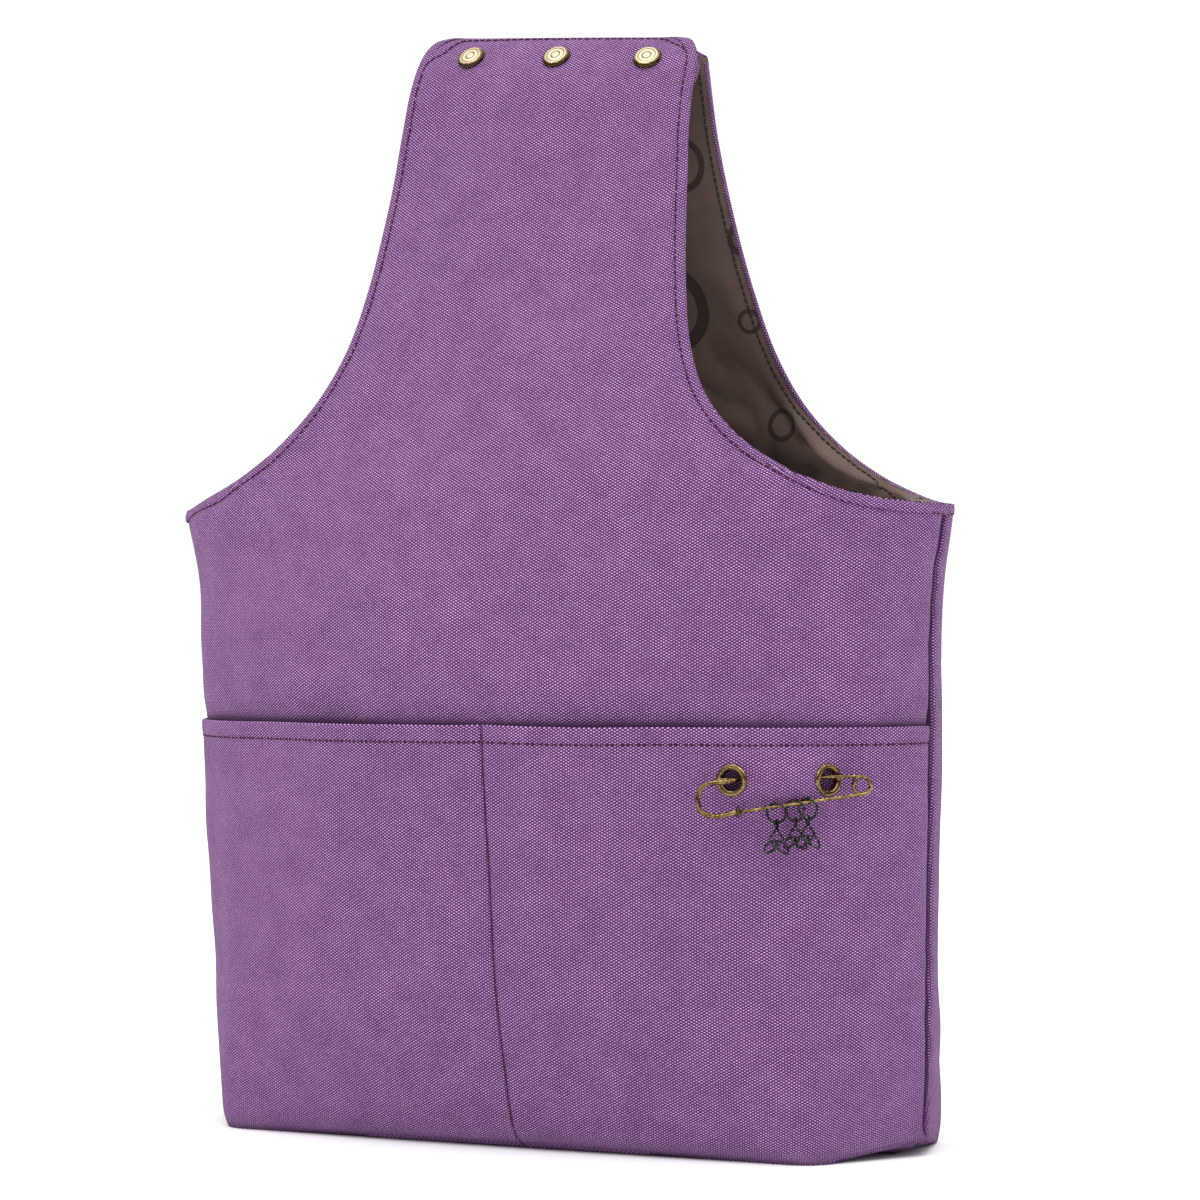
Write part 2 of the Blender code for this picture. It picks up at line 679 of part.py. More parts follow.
def snap_matrix(index):
    low, high = SNAP_TAB[SNAP_ROW - 1], SNAP_TAB[SNAP_ROW + 1]
    slope = Vector((0.0, low[0] - high[0], high[1] - low[1]))
    row = strap_row(SNAP_TAB[SNAP_ROW], np.linspace(0.0, 1.0, DENSE), -1)
    x = SNAP_MIDDLE_X + (index - 1) * SNAP_SPACING
    left, middle, right = (
        Vector([np.interp(at, row[:, 0], row[:, i]) for i in range(3)])
        for at in (x - CAP_RADIUS, x, x + CAP_RADIUS))
    return facing(middle, (right - left).cross(slope), (1.0, 0.0, 0.0))


def make_snaps(metal):
    """Each snap: a domed cap and a socket ring on the tab, a stud and its back ring on the back strap."""
    for index in range(3):
        matrix = snap_matrix(index)
        number = str(index + 1)
        low = LAYER_GAP
        turned("snap_cap_" + number, (
            (0.0, low + CAP_HEIGHT), (CAP_RADIUS * 0.45, low + CAP_HEIGHT * 0.93),
            (CAP_RADIUS * 0.8, low + CAP_HEIGHT * 0.62), (CAP_RADIUS, low + CAP_HEIGHT * 0.2),
            (CAP_RADIUS * 0.97, low), (0.0, low)), metal, matrix)
        top = -LAYERS - LAYER_GAP
        turned("snap_socket_" + number, (
            (SOCKET_BORE, top), (SOCKET_RADIUS, top), (SOCKET_RADIUS, top - SOCKET_HEIGHT * 0.7),
            (SOCKET_RADIUS * 0.9, top - SOCKET_HEIGHT), (SOCKET_BORE, top - SOCKET_HEIGHT)), metal, matrix)
        foot = -TUCK + LAYER_GAP
        turned("snap_stud_" + number, (
            (0.0, foot), (STUD_FLANGE_RADIUS, foot), (STUD_FLANGE_RADIUS, foot + STUD_FLANGE_HEIGHT),
            (STUD_RADIUS, foot + STUD_FLANGE_HEIGHT), (STUD_RADIUS, foot + STUD_HEIGHT * 0.8),
            (STUD_RADIUS * 0.7, foot + STUD_HEIGHT), (0.0, foot + STUD_HEIGHT)), metal, matrix)
        under = -TUCK - LAYERS - 2 * LAYER_GAP
        turned("snap_back_ring_" + number, (
            (RING_BORE, under), (RING_RADIUS, under), (RING_RADIUS, under - RING_HEIGHT),
            (RING_BORE, under - RING_HEIGHT)), metal, matrix)


def eyelet_matrix(way):
    along, out = pin_axes()
    normal = out * math.cos(EYELET_SLOPE) + along * (way * math.sin(EYELET_SLOPE))
    return facing(pin_point(way * EYELET_REACH, 0.0, 0.0), normal)


def make_eyelets(metal):
    """Each eyelet: a flange and barrel from the front, and a washer behind the cloth."""
    for side, way in (("left", -1.0), ("right", 1.0)):
        matrix = eyelet_matrix(way)
        back = -POCKET_CLOTH - LAYER_GAP
        turned("eyelet_" + side, (
            (EYELET_BORE, back - WASHER), (BARREL_RADIUS, back - WASHER), (BARREL_RADIUS, LAYER_GAP),
            (EYELET_RADIUS, LAYER_GAP), (EYELET_RADIUS * 0.97, LAYER_GAP + FLANGE * 0.6),
            (EYELET_RADIUS * 0.85, LAYER_GAP + FLANGE), (EYELET_BORE, LAYER_GAP + FLANGE * 0.7)),
            metal, matrix, 20)
        turned("eyelet_washer_" + side, (
            (BARREL_RADIUS + LAYER_GAP, back - WASHER), (EYELET_RADIUS, back - WASHER),
            (EYELET_RADIUS, back), (BARREL_RADIUS + LAYER_GAP, back)), metal, matrix, 20)


def coil_points(start, turn, level, steps=14):
    """Part of a turn of the pin's coil, from a start angle, in the pin's own frame."""
    points = []
    for i in range(steps + 1):
        angle = start + turn * i / steps
        points.append((COIL_CENTRE[0] + COIL_RADIUS * math.cos(angle), level,
                       COIL_CENTRE[1] + COIL_RADIUS * math.sin(angle)))
    return points


def rail_direction():
    """Angle of the rail above the pin's x axis: the line from the collar that touches the coil's bottom."""
    dx, dz = COIL_CENTRE[0] - COLLAR_AT[0], COIL_CENTRE[1] - COLLAR_AT[1]
    return math.atan2(dz, dx) - math.asin(COIL_RADIUS / math.hypot(dx, dz))


def rail_end():
    angle = rail_direction() - math.pi / 2
    return (COIL_CENTRE[0] + COIL_RADIUS * math.cos(angle), COIL_CENTRE[1] + COIL_RADIUS * math.sin(angle))


def rail_point(x):
    """The rail's middle at a place along the pin, as (x, level, z) in the pin's own frame."""
    end = rail_end()
    share = (x - COLLAR_AT[0]) / (end[0] - COLLAR_AT[0])
    return (x, COLLAR_LEVEL + (RAIL_LEVEL - COLLAR_LEVEL) * share,
            COLLAR_AT[1] + (end[1] - COLLAR_AT[1]) * share)


def make_pin(metal):
    arm = bend(ARM_ROUTE, 2) + coil_points(math.pi / 2, -COIL_TURN, ARM_COIL_LEVEL)
    radii = [*ARM_TIP_RADII] + [WIRE] * (len(arm) - len(ARM_TIP_RADII))
    tube("pin_arm", [pin_point(*point) for point in arm], radii, metal, 6)
    rail = [rail_point(x) for x in np.linspace(COLLAR_AT[0] + WIRE_END_GAP, RAIL_STRAIGHT_END, 7)]
    rail += coil_points(rail_direction() - math.pi / 2, COIL_TURN, RAIL_LEVEL)
    tube("pin_rail", [pin_point(*point) for point in rail], WIRE, metal)
    make_pin_head(metal)


def make_pin_head(metal):
    """The head turns back over the arm's tip. Its lower leg ends in the collar that grips the rail."""
    points = bend(HEAD_ROUTE, 3)
    radii = [HEAD_WIRE] * (len(points) - 1) + [HEAD_WIRE * 0.6]
    tube("pin_head", [pin_point(*point) for point in points], radii, metal, 10)
    angle = rail_direction()
    along, _ = pin_axes()
    normal = along * math.cos(angle) + Vector((0.0, 0.0, math.sin(angle)))
    centre = pin_point(*rail_point(COLLAR_AT[0]))
    turned("pin_collar", COLLAR_PROFILE, metal, facing(centre, normal), 12)


def ring_drop():
    """How far the middle of a marker's ring hangs below the rail's."""
    return RING_MEAN - RING_WIRE - WIRE - HOOK_GAP


def make_markers(metal):
    along, out = pin_axes()
    for index, (x, turn, size) in enumerate(MARKERS):
        number = str(index + 1)
        ring_x, level, rail_z = rail_point(x)
        centre = pin_point(ring_x, level, rail_z - ring_drop())
        flat = along * math.cos(math.radians(turn)) + out * math.sin(math.radians(turn))
        points = []
        for i in range(20):
            angle = 2 * math.pi * i / 20
            spoke = flat * math.cos(angle) + Vector((0.0, 0.0, math.sin(angle)))
            points.append(centre + spoke * RING_MEAN)
        tube("marker_ring_" + number, points, RING_WIRE, metal, 6, ring=True)
        make_charm(number, centre - Vector((0.0, 0.0, RING_MEAN)), flat, size, metal)


def make_charm(number, hook, flat, size, metal):
    """A flat wire charm: a loop through the marker's ring, and a lozenge with two leaves at its foot."""
    across = flat.cross(Vector((0.0, 0.0, 1.0))).normalized()
    loop = LOOP_RADIUS * size
    top = hook - Vector((0.0, 0.0, loop - RING_WIRE - CHARM_WIRE - LOOP_GAP))
    ring = []
    for i in range(12):
        angle = 2 * math.pi * i / 12
        spoke = across * math.cos(angle) + Vector((0.0, 0.0, math.sin(angle)))
        ring.append(top + spoke * loop)
    body = tube("marker_charm_" + number, ring, CHARM_WIRE, metal, 6, ring=True)
    start = top - Vector((0.0, 0.0, loop))
    for label, shape in (("lozenge_", LOZENGE), ("left_leaf_", leaf(-1.0)), ("right_leaf_", leaf(1.0))):
        points = [start + flat * (x * size) + Vector((0.0, 0.0, z * size)) for x, z in shape]
        piece = tube(label + number, points, CHARM_WIRE, metal, 6, ring=True)
        piece.hide_render = True
        piece.display_type = "WIRE"
        union = body.modifiers.new(piece.name, "BOOLEAN")
        union.operation = "UNION"
        union.solver = "EXACT"
        union.object = piece


def leaf(side, steps=7):
    """A leaf's closed outline, as (across, up) from the foot of the loop, that leans out to this side."""
    lean = side * LEAF_LEAN
    line = []
    for i in range(2 * steps):
        t = i / steps if i < steps else 2.0 - i / steps
        half = 1.0 if i < steps else -1.0
        x = half * LEAF_HALF_WIDTH * math.sin(math.pi * t) ** 0.8 * (1.0 - 0.25 * t)
        z = -LEAF_LENGTH * t
        line.append((side * LEAF_START[0] + x * math.cos(lean) - z * math.sin(lean),
                     LEAF_START[1] + x * math.sin(lean) + z * math.cos(lean)))
    return line


def hinge_at(name, point, children):
    """Gives pieces a parent on their joint's axis, without moving them."""
    empty = bpy.data.objects.new(name, None)
    bpy.context.scene.collection.objects.link(empty)
    empty.location = Vector(point) * MM
    bpy.context.view_layer.update()
    for child in children:
        child.parent = empty
        child.matrix_parent_inverse = empty.matrix_world.inverted()


def make_hinges():
    named = bpy.data.objects
    tab = [named["snap_tab"], named["snap_tab_lining"]]
    tab += [named[kind + str(i)] for kind in ("snap_cap_", "snap_socket_") for i in (1, 2, 3)]
    hinge_at("tab_crease", (0.0, -SNAP_TAB[0][0], SNAP_TAB[0][1]), tab)
    pin = [named[name] for name in ("pin_rail", "pin_head", "pin_collar")]
    hinge_at("pin_coil_axis", pin_point(COIL_CENTRE[0], RAIL_LEVEL, COIL_CENTRE[1]), pin)
    for index, (x, _, _) in enumerate(MARKERS):
        number = str(index + 1)
        hinge_at("marker_swing_" + number, pin_point(*rail_point(x)), [named["marker_ring_" + number]])
        hook = pin_point(*rail_point(x)) - Vector((0.0, 0.0, RING_MEAN + ring_drop()))
        hinge_at("charm_swing_" + number, hook, [named["marker_charm_" + number]])


def main():
    clear_scene()
    canvas = material("canvas", CLOTH_COLOUR, 0.9)
    lining = material("lining", LINING_COLOUR, 0.45)
    metal = material("antique_metal", METAL_COLOUR, 0.35, 0.9)
    thread = material("thread", THREAD_COLOUR, 0.8)
    make_bag(canvas, lining)
    make_pocket(canvas, thread)
    make_snaps(metal)
    make_eyelets(metal)
    make_pin(metal)
    make_markers(metal)
    make_hinges()


main()
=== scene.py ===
"""Looks of the canvas knitting bag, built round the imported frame.

Lengths in the shape functions are millimetres, in the frame's own axes: the bag stands on z = 0, its
front with the pocket faces -Y, and the side seams lie in the plane y = 0. MM turns them into metres.
"""

import json
import math

import bpy
import numpy as np
from mathutils import Matrix, Vector
from mathutils.bvhtree import BVHTree

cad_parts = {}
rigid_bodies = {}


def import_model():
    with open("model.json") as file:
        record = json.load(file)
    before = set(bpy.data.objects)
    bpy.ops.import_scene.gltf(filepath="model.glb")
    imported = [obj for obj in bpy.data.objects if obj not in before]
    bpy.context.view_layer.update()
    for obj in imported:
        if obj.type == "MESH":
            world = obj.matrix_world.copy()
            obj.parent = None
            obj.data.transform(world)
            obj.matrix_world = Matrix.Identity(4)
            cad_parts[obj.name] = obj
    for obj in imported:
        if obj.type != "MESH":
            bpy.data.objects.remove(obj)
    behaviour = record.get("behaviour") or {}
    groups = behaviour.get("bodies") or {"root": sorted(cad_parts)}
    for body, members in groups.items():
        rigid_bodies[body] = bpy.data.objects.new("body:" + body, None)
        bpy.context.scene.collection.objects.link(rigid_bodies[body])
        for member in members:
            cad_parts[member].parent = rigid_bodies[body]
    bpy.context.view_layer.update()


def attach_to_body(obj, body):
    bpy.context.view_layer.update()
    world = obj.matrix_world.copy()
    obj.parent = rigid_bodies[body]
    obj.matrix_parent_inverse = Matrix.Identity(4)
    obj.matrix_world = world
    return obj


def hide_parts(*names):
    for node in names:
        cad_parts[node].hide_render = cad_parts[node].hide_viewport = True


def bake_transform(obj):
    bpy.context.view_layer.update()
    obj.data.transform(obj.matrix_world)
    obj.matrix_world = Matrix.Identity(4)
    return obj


MM = 0.001
SHARP_EDGE = math.radians(50.0)

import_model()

# Cloth layers, from the outside in.
CANVAS = 1.0
LINING = 0.5
STRAP_GAP = 0.15
BODY_GAP = 1.0
SNAP_GAP = 2.4
LAYERS = 2.0
TUCK = LAYERS + SNAP_GAP
POCKET_CLOTH = 1.2

# Boxed base and body sections, as the frame has them.
BOTTOM_SEAM_HALF = 150.0
FRONT_CORNER_X = 134.0
BACK_CORNER_X = 150.0
BASE_CORNER_Y = 49.0
CORNER_SHARE = 0.3
BASE_ROUNDING = 8.0
T_SEAM_LIFT = 5.5
LIFT_FADE = 45.0
BOXY_UP_TO = 130.0
BASE_SHARES = (0.0, 0.25, 0.5, 0.75, 0.92)
DENSE = 241

# The body, level by level: (height, depth), and the half width at a height, which all its sides share.
POCKET_DEPTHS = (
    (0.0, 47.0), (5.0, 57.0), (15.0, 63.0), (31.0, 68.5), (53.0, 74.5), (80.0, 79.0), (110.0, 83.3),
    (134.0, 86.3), (146.0, 87.9), (158.0, 89.8), (173.0, 91.8))
BACK_DEPTHS = (
    (0.0, 47.0), (5.0, 57.0), (15.0, 63.0), (31.0, 69.0), (53.0, 75.0), (80.0, 80.5), (110.0, 84.5),
    (140.0, 87.0), (171.0, 87.5), (200.0, 86.0), (230.0, 81.0), (262.0, 73.5))
FRONT_DEPTHS = (
    (0.0, 47.0), (5.0, 57.0), (15.0, 62.0), (31.0, 66.0), (53.0, 69.5), (80.0, 73.0), (110.0, 76.5),
    (140.0, 79.6), (171.0, 84.5), (186.0, 86.0), (202.0, 85.2), (230.0, 81.0), (262.0, 73.5))
HALF_WIDTHS = (
    (0.0, 165.0), (5.0, 165.4), (15.0, 166.0), (31.0, 166.5), (110.0, 166.5), (134.0, 167.0),
    (146.0, 167.0), (158.0, 167.2), (171.0, 167.5), (173.0, 167.5), (186.0, 167.8), (200.0, 168.3),
    (202.0, 168.4), (230.0, 170.8), (262.0, 177.0))

# The strap above the armholes, level by level: (middle height, edge height, half width), then the
# front's and the back's (middle depth, edge depth). SNAP_TAB and BACK_TOP are the strap's two ends.
STRAP_LEVELS = (
    (265.2, 262.4, 172.4), (270.0, 263.2, 164.0), (281.0, 267.0, 148.0), (294.0, 276.0, 126.0),
    (308.0, 289.0, 106.0), (322.0, 306.0, 90.0), (338.0, 327.0, 79.8), (356.0, 351.0, 74.3),
    (376.0, 375.0, 71.0), (399.0, 399.0, 68.7), (420.0, 420.0, 67.0), (438.0, 438.0, 66.0))
FRONT_STRAP_DEPTHS = (
    (72.8, 16.4), (71.5, 27.0), (67.5, 40.5), (63.0, 47.5), (58.5, 50.3), (54.0, 49.0), (48.5, 43.5),
    (42.0, 36.0), (35.7, 29.2), (29.3, 22.6), (24.2, 17.7), (20.3, 12.9))
BACK_STRAP_DEPTHS = (
    (72.9, 16.4), (72.0, 27.0), (69.0, 41.0), (65.0, 50.0), (60.5, 53.5), (55.5, 51.5), (48.0, 43.3),
    (39.5, 33.8), (30.5, 24.3), (22.0, 15.9), (16.6, 10.8), (12.5, 6.4))
SNAP_TAB = (
    (20.3, 438.0, 12.9, 438.0, 66.0), (16.8, 444.8, 10.2, 444.2, 65.6),
    (12.7, 449.85, 7.2, 449.6, 65.0), (8.6, 454.9, 4.4, 454.6, 63.4),
    (4.2, 458.6, 1.8, 458.2, 60.4), (-0.6, 460.0, -1.4, 459.8, 56.0),
    (-5.2, 458.9, -4.8, 458.9, 50.0))
BACK_TOP = ((9.0, 447.0, 4.4, 446.0, 65.6), (4.8, 453.4, 3.2, 452.2, 65.0))
STRAP_ARC = math.radians(40.0)
TUCKED_END = 3.6
TUCKED_HALF_WIDTH = 64.5
LEAN = ((0.0, 0.0), (171.0, 0.0), (262.0, -3.0), (330.0, 0.0), (420.0, 0.0), (460.0, 1.5))
TOP_TILT = 0.06
TILT_FROM = 390.0
TILT_OVER = 60.0
ARMPIT = 262.0
SEAM_FOLD_DEPTH = 4.4
SEAM_FOLD_WIDTH = 2.0
SEAM_PUCKER = 0.22
EDGE_TUCK = 0.9

# Pocket and divider.
DIVIDER_X = 8.5
HEM_DEPTH = 6.4
PIN_ZONE = (122.0, 26.0)

# Kilt pin.
PIN_ORIGIN = np.array([126.5, -59.8, 152.5])
PIN_TURN = math.radians(32.0)
EYELET_REACH = 19.0
EYELET_SLOPE = math.radians(29.0)
HUMP_RISE = 8.0
HUMP_REACH = 10.0
HUMP_HEIGHT = 10.0
FLAT_RADIUS = 7.6
FLAT_FADE = 6.0
WIRE = 0.7
HEAD_WIRE = 1.0
COIL_CENTRE = (32.0, -2.0)
COIL_RADIUS = 3.4
ARM_COIL_LEVEL = 2.5
RAIL_LEVEL = 4.3
COLLAR_LEVEL = 4.2
COLLAR_AT = (-17.0, -12.3)
MARKERS = ((-2.0, 31.0, 1.0), (5.5, 32.0, 0.94), (10.5, 32.0, 0.97))
RING_MEAN = 3.9
RING_WIRE = 0.5
CHARM_WIRE = 0.45

# Snaps.
SNAP_MIDDLE_X = 4.0
SNAP_SPACING = 41.0
SNAP_ROW = 2
CAP_RADIUS = 6.0

ALONG = np.array([math.cos(PIN_TURN), math.sin(PIN_TURN), 0.0])
OUT = np.array([math.sin(PIN_TURN), -math.cos(PIN_TURN), 0.0])
UP = np.array([0.0, 0.0, 1.0])


# ---------------------------------------------------------------- shapes

def smooth_step(value):
    """0 below 0, 1 above 1, and a smooth rise between them."""
    value = np.clip(value, 0.0, 1.0)
    return value * value * (3.0 - 2.0 * value)


def run_along(points):
    """The distance along a line at each of its points."""
    return np.concatenate([[0.0], np.cumsum(np.linalg.norm(np.diff(points, axis=0), axis=1))])


def eased(line, rounds):
    """Smooths a line in place, all but its two ends."""
    for _ in range(rounds):
        line[1:-1] = 0.25 * line[:-2] + 0.5 * line[1:-1] + 0.25 * line[2:]


def unit(vectors):
    """A line's vectors, each made one long."""
    return vectors / np.linalg.norm(vectors, axis=1, keepdims=True)


def respaced(points, shares):
    """Points at these shares of a line's length."""
    along = run_along(points)
    along /= along[-1]
    return np.stack([np.interp(shares, along, points[:, i]) for i in range(points.shape[1])], axis=1)


def body_stations(depths):
    """The body's levels: (height, depth, half width)."""
    return tuple((height, depth, np.interp(height, *zip(*HALF_WIDTHS))) for height, depth in depths)


def strap_stations(depths):
    """The strap's levels: (middle depth, middle height, edge depth, edge height, half width)."""
    return tuple((middle, high, edge, low, half)
                 for (middle, edge), (high, low, half) in zip(depths, STRAP_LEVELS))


POCKET_BODY = body_stations(POCKET_DEPTHS)


def corner_x(side):
    """Where the base's corner is, along the front or the back."""
    return BACK_CORNER_X if side > 0 else FRONT_CORNER_X


def boxy_section(depth, half_width, side):
    """The plan of one side of the boxed base, with rounded corners."""
    corner = half_width / POCKET_BODY[0][2] * corner_x(side)
    corner_depth = BASE_CORNER_Y + CORNER_SHARE * (depth - POCKET_BODY[0][1])
    middle = [(corner * x, depth + (corner_depth - depth) * x * x) for x in np.linspace(-1.0, 1.0, 9)]
    line = np.array([(-half_width, 0.0), *middle, (half_width, 0.0)])
    dense = respaced(line, np.linspace(0.0, 1.0, DENSE))
    reach = int(round(BASE_ROUNDING / np.linalg.norm(dense[1] - dense[0])))
    rounded = dense.copy()
    for i in range(DENSE):
        window = min(reach, i, DENSE - 1 - i)
        rounded[i] = dense[i - window:i + window + 1].mean(axis=0)
    return rounded


def oval_section(depth, half_width, turn=math.pi / 2):
    """The plan of one side as an arc of an oval."""
    angle = np.linspace(-turn, turn, DENSE)
    bow = (np.cos(angle) - math.cos(turn)) / (1.0 - math.cos(turn))
    return np.stack([half_width * np.sin(angle) / math.sin(turn), depth * bow], axis=1)


def lean_at(height):
    """How far the bag has slumped sideways at a height."""
    heights, shifts = zip(*LEAN)
    return np.interp(height, heights, shifts)


def tilt_at(height):
    """How much the strap slopes sideways at a height."""
    return TOP_TILT * smooth_step((height - TILT_FROM) / TILT_OVER)


def body_line(height, depth, half_width, side):
    """One level of the body as a dense line from the left side seam to the right one."""
    shares = np.linspace(0.0, 1.0, DENSE)
    oval = respaced(oval_section(depth, half_width), shares)
    boxy = respaced(boxy_section(depth, half_width, side), shares)
    plan = boxy + (oval - boxy) * float(smooth_step(height / BOXY_UP_TO))
    lift = T_SEAM_LIFT * smooth_step((np.abs(plan[:, 0]) - corner_x(side)) / (half_width - corner_x(side)))
    z = height + lift * max(0.0, 1.0 - height / LIFT_FADE)
    return np.stack([plan[:, 0] + lean_at(height), side * plan[:, 1], z], axis=1)


def strap_line(station, side):
    """One level of the strap as a dense line from its left edge to its right one."""
    depth, height, edge_depth, edge_height, half_width = station
    share = min(max(edge_depth / depth if depth > 0.0 else 1.0, 0.0), 1.0)
    turn = max(math.acos(share), STRAP_ARC) if depth > 10.0 else STRAP_ARC
    section = respaced(oval_section(1.0, half_width, turn), np.linspace(0.0, 1.0, DENSE))
    y = side * (edge_depth + (depth - edge_depth) * section[:, 1])
    z = edge_height + (height - edge_height) * section[:, 1]
    return np.stack([section[:, 0] + lean_at(z), y, z - section[:, 0] * tilt_at(z)], axis=1)


EDGE_MARKS = np.array([0.0, 0.4, 0.9, 1.5, 2.2, 3.1, 4.2, 6.0, 8.5, 12.0])
INNER_COLUMNS = 110


def columns(line):
    """Points along a level, close together next to its two ends."""
    steps = np.linalg.norm(np.diff(line, axis=0), axis=1)
    length = steps.sum()
    inner = np.linspace(EDGE_MARKS[-1], length - EDGE_MARKS[-1], INNER_COLUMNS)[1:-1]
    marks = np.concatenate([EDGE_MARKS, inner, length - EDGE_MARKS[::-1]])
    return respaced(line, marks / length)


def base_rows(first_row, side):
    """Rows of the base, from the bottom seam out to the body's first level."""
    rows = []
    for share in BASE_SHARES:
        row = first_row.copy()
        squeeze = BOTTOM_SEAM_HALF / np.abs(first_row[:, 0]).max()
        row[:, 0] *= squeeze + (1.0 - squeeze) * share
        row[:, 1] = side * np.abs(first_row[:, 1]) * share
        row[:, 2] *= share
        rows.append(row)
    return rows


def tucked(rows):
    """The tab's rows, moved in by the layers and the snap gap, for the back strap under it."""
    middle = np.array([(row[0], row[1]) for row in rows])
    edge = np.array([(row[2], row[3]) for row in rows])
    moved = []
    for line in (middle, edge):
        along = unit(np.gradient(line, axis=0))
        moved.append(line + np.stack([-along[:, 1], along[:, 0]], axis=1) * TUCK)
    widths = [min(TUCKED_HALF_WIDTH, row[4] - 0.8) for row in rows]
    return [(*inner, *outer, width) for inner, outer, width in zip(*moved, widths)]


def back_stations():
    """The back strap's levels, up and over behind the tab."""
    low = tuple(a + (b - a) * TUCKED_END / 7.5 for a, b in zip(SNAP_TAB[0], SNAP_TAB[1]))
    over = tucked([low, *SNAP_TAB[1:6]])
    levels = list(strap_stations(BACK_STRAP_DEPTHS) + BACK_TOP)
    return levels + [(-s[0], s[1], -s[2], s[3], s[4]) for s in reversed(over)]


def refined(rows, steps, corner=None, last=()):
    """A smooth surface through levels: each column is a spline, which keeps its corner at the armpit.

    steps is the wanted distance between rows, and last the distances from the end of the final rows.
    """
    rows = np.array(rows)
    steps = np.broadcast_to(steps, len(rows) - 1)
    h = np.maximum(np.linalg.norm(np.diff(rows, axis=0), axis=2, keepdims=True), 1e-6)
    slope = np.diff(rows, axis=0) / h
    into, out = np.empty_like(rows), np.empty_like(rows)
    into[1:], out[:-1] = slope, slope
    middle = (slope[:-1] * h[1:] + slope[1:] * h[:-1]) / (h[1:] + h[:-1])
    into[1:-1], out[1:-1] = middle, middle
    into[0], out[-1] = slope[0], slope[-1]
    if corner is not None:
        share = np.abs(np.linspace(-1.0, 1.0, rows.shape[1]))
        sharp = smooth_step((share - 0.62) / 0.25)[:, None]
        into[corner] += (slope[corner - 1] - into[corner]) * sharp
        out[corner] += (slope[corner] - out[corner]) * sharp
    made, first = [], []
    for i in range(len(rows) - 1):
        first.append(len(made))
        length = np.mean(h[i])
        count = max(1, int(math.ceil(length / steps[i])))
        shares = list(np.arange(count) / count)
        if i == len(rows) - 2:
            ends = list(1.0 - np.array(last) / length)
            shares = [s for s in shares if not ends or s < min(ends) - 0.4 * steps[i] / length] + ends
        for t in shares:
            a, b = 2 * t**3 - 3 * t**2 + 1, t**3 - 2 * t**2 + t
            c, d = -2 * t**3 + 3 * t**2, t**3 - t**2
            made.append(a * rows[i] + b * h[i] * out[i] + c * rows[i + 1] + d * h[i] * into[i + 1])
    first.append(len(made))
    made.append(rows[-1])
    return np.array(made), first


def inward(grid, side, base=0):
    """Unit normals that point into the bag. The columns follow the middle one's profile."""
    across = np.gradient(grid, axis=1)
    along = np.gradient(grid[:, grid.shape[1] // 2], axis=0)[:, None, :] * np.array([0.0, 1.0, 1.0])
    normal = np.cross(across, np.broadcast_to(along, grid.shape)) * side
    normal /= np.maximum(np.linalg.norm(normal, axis=2, keepdims=True), 1e-9)
    if base:
        normal[:base] = (0.0, 0.0, 1.0)
        normal[base] += (0.0, 0.0, 1.0)
        normal[base] = unit(normal[base])
    return normal


def true_inward(grid, side):
    """Unit normals that point into the bag, from the grid's own slopes."""
    normal = np.cross(np.gradient(grid, axis=1), np.gradient(grid, axis=0)) * side
    return normal / np.maximum(np.linalg.norm(normal, axis=2, keepdims=True), 1e-9)


def row_distance(grid):
    """Distance along each level, from its left end, and each level's length."""
    steps = np.linalg.norm(np.diff(grid, axis=1), axis=2)
    run = np.concatenate([np.zeros((grid.shape[0], 1)), np.cumsum(steps, axis=1)], axis=1)
    return run, run[:, -1:]


def cloth_coordinates(grid):
    """Where each point lies on the flat cloth, in mm: across from the middle, and up along it."""
    flat_steps = np.linalg.norm(np.diff(grid[:, :, :2], axis=1), axis=2)
    run = np.concatenate([np.zeros((grid.shape[0], 1)), np.cumsum(flat_steps, axis=1)], axis=1)
    middle = grid.shape[1] // 2
    across = run - run[:, middle:middle + 1]
    line = grid[:, middle]
    up = run_along(line)
    crest = int(np.argmax(line[:, 2]))
    low = int(np.searchsorted(line[:crest, 2], 20.0))
    z = grid[:, :, 2]
    level = np.interp(z + grid[:, :, 0] * tilt_at(z), line[low:crest, 2], up[low:crest])
    use = smooth_step((z - 22.0) / 20.0) * smooth_step((440.0 - z) / 20.0)
    along = up[:, None] + (level - up[:, None]) * use
    return np.stack([across, along], axis=2)


def waves(cloth, seed, size, count=14):
    """A smooth random field over the cloth, about one in height, whose waves are about this long."""
    source = np.random.RandomState(seed)
    total = np.zeros(cloth.shape[:2])
    for _ in range(count):
        angle, phase = source.uniform(0, 2 * math.pi, 2)
        number = 2 * math.pi / (size * source.uniform(0.7, 1.5))
        along = cloth[:, :, 0] * math.cos(angle) + cloth[:, :, 1] * math.sin(angle)
        total += np.sin(number * along + phase)
    return total * math.sqrt(2.0 / count)


def seam_pull(from_end, z):
    """How far the side seam draws the cloth in, unevenly, and how much painted shade lies in its fold."""
    height = np.stack([np.zeros_like(z), z], axis=2)
    pucker = 1.0 + SEAM_PUCKER * waves(height, 77, 15.0)
    held = smooth_step((z - 4.0) / 8.0) * smooth_step((ARMPIT + 1.0 - z) / 7.0)
    fold = np.exp(-(from_end / SEAM_FOLD_WIDTH)**2)
    return (SEAM_FOLD_DEPTH * fold + 1.0 * np.exp(-from_end / 5.0) * pucker) * held, fold * held


# ---------------------------------------------------------------- meshes

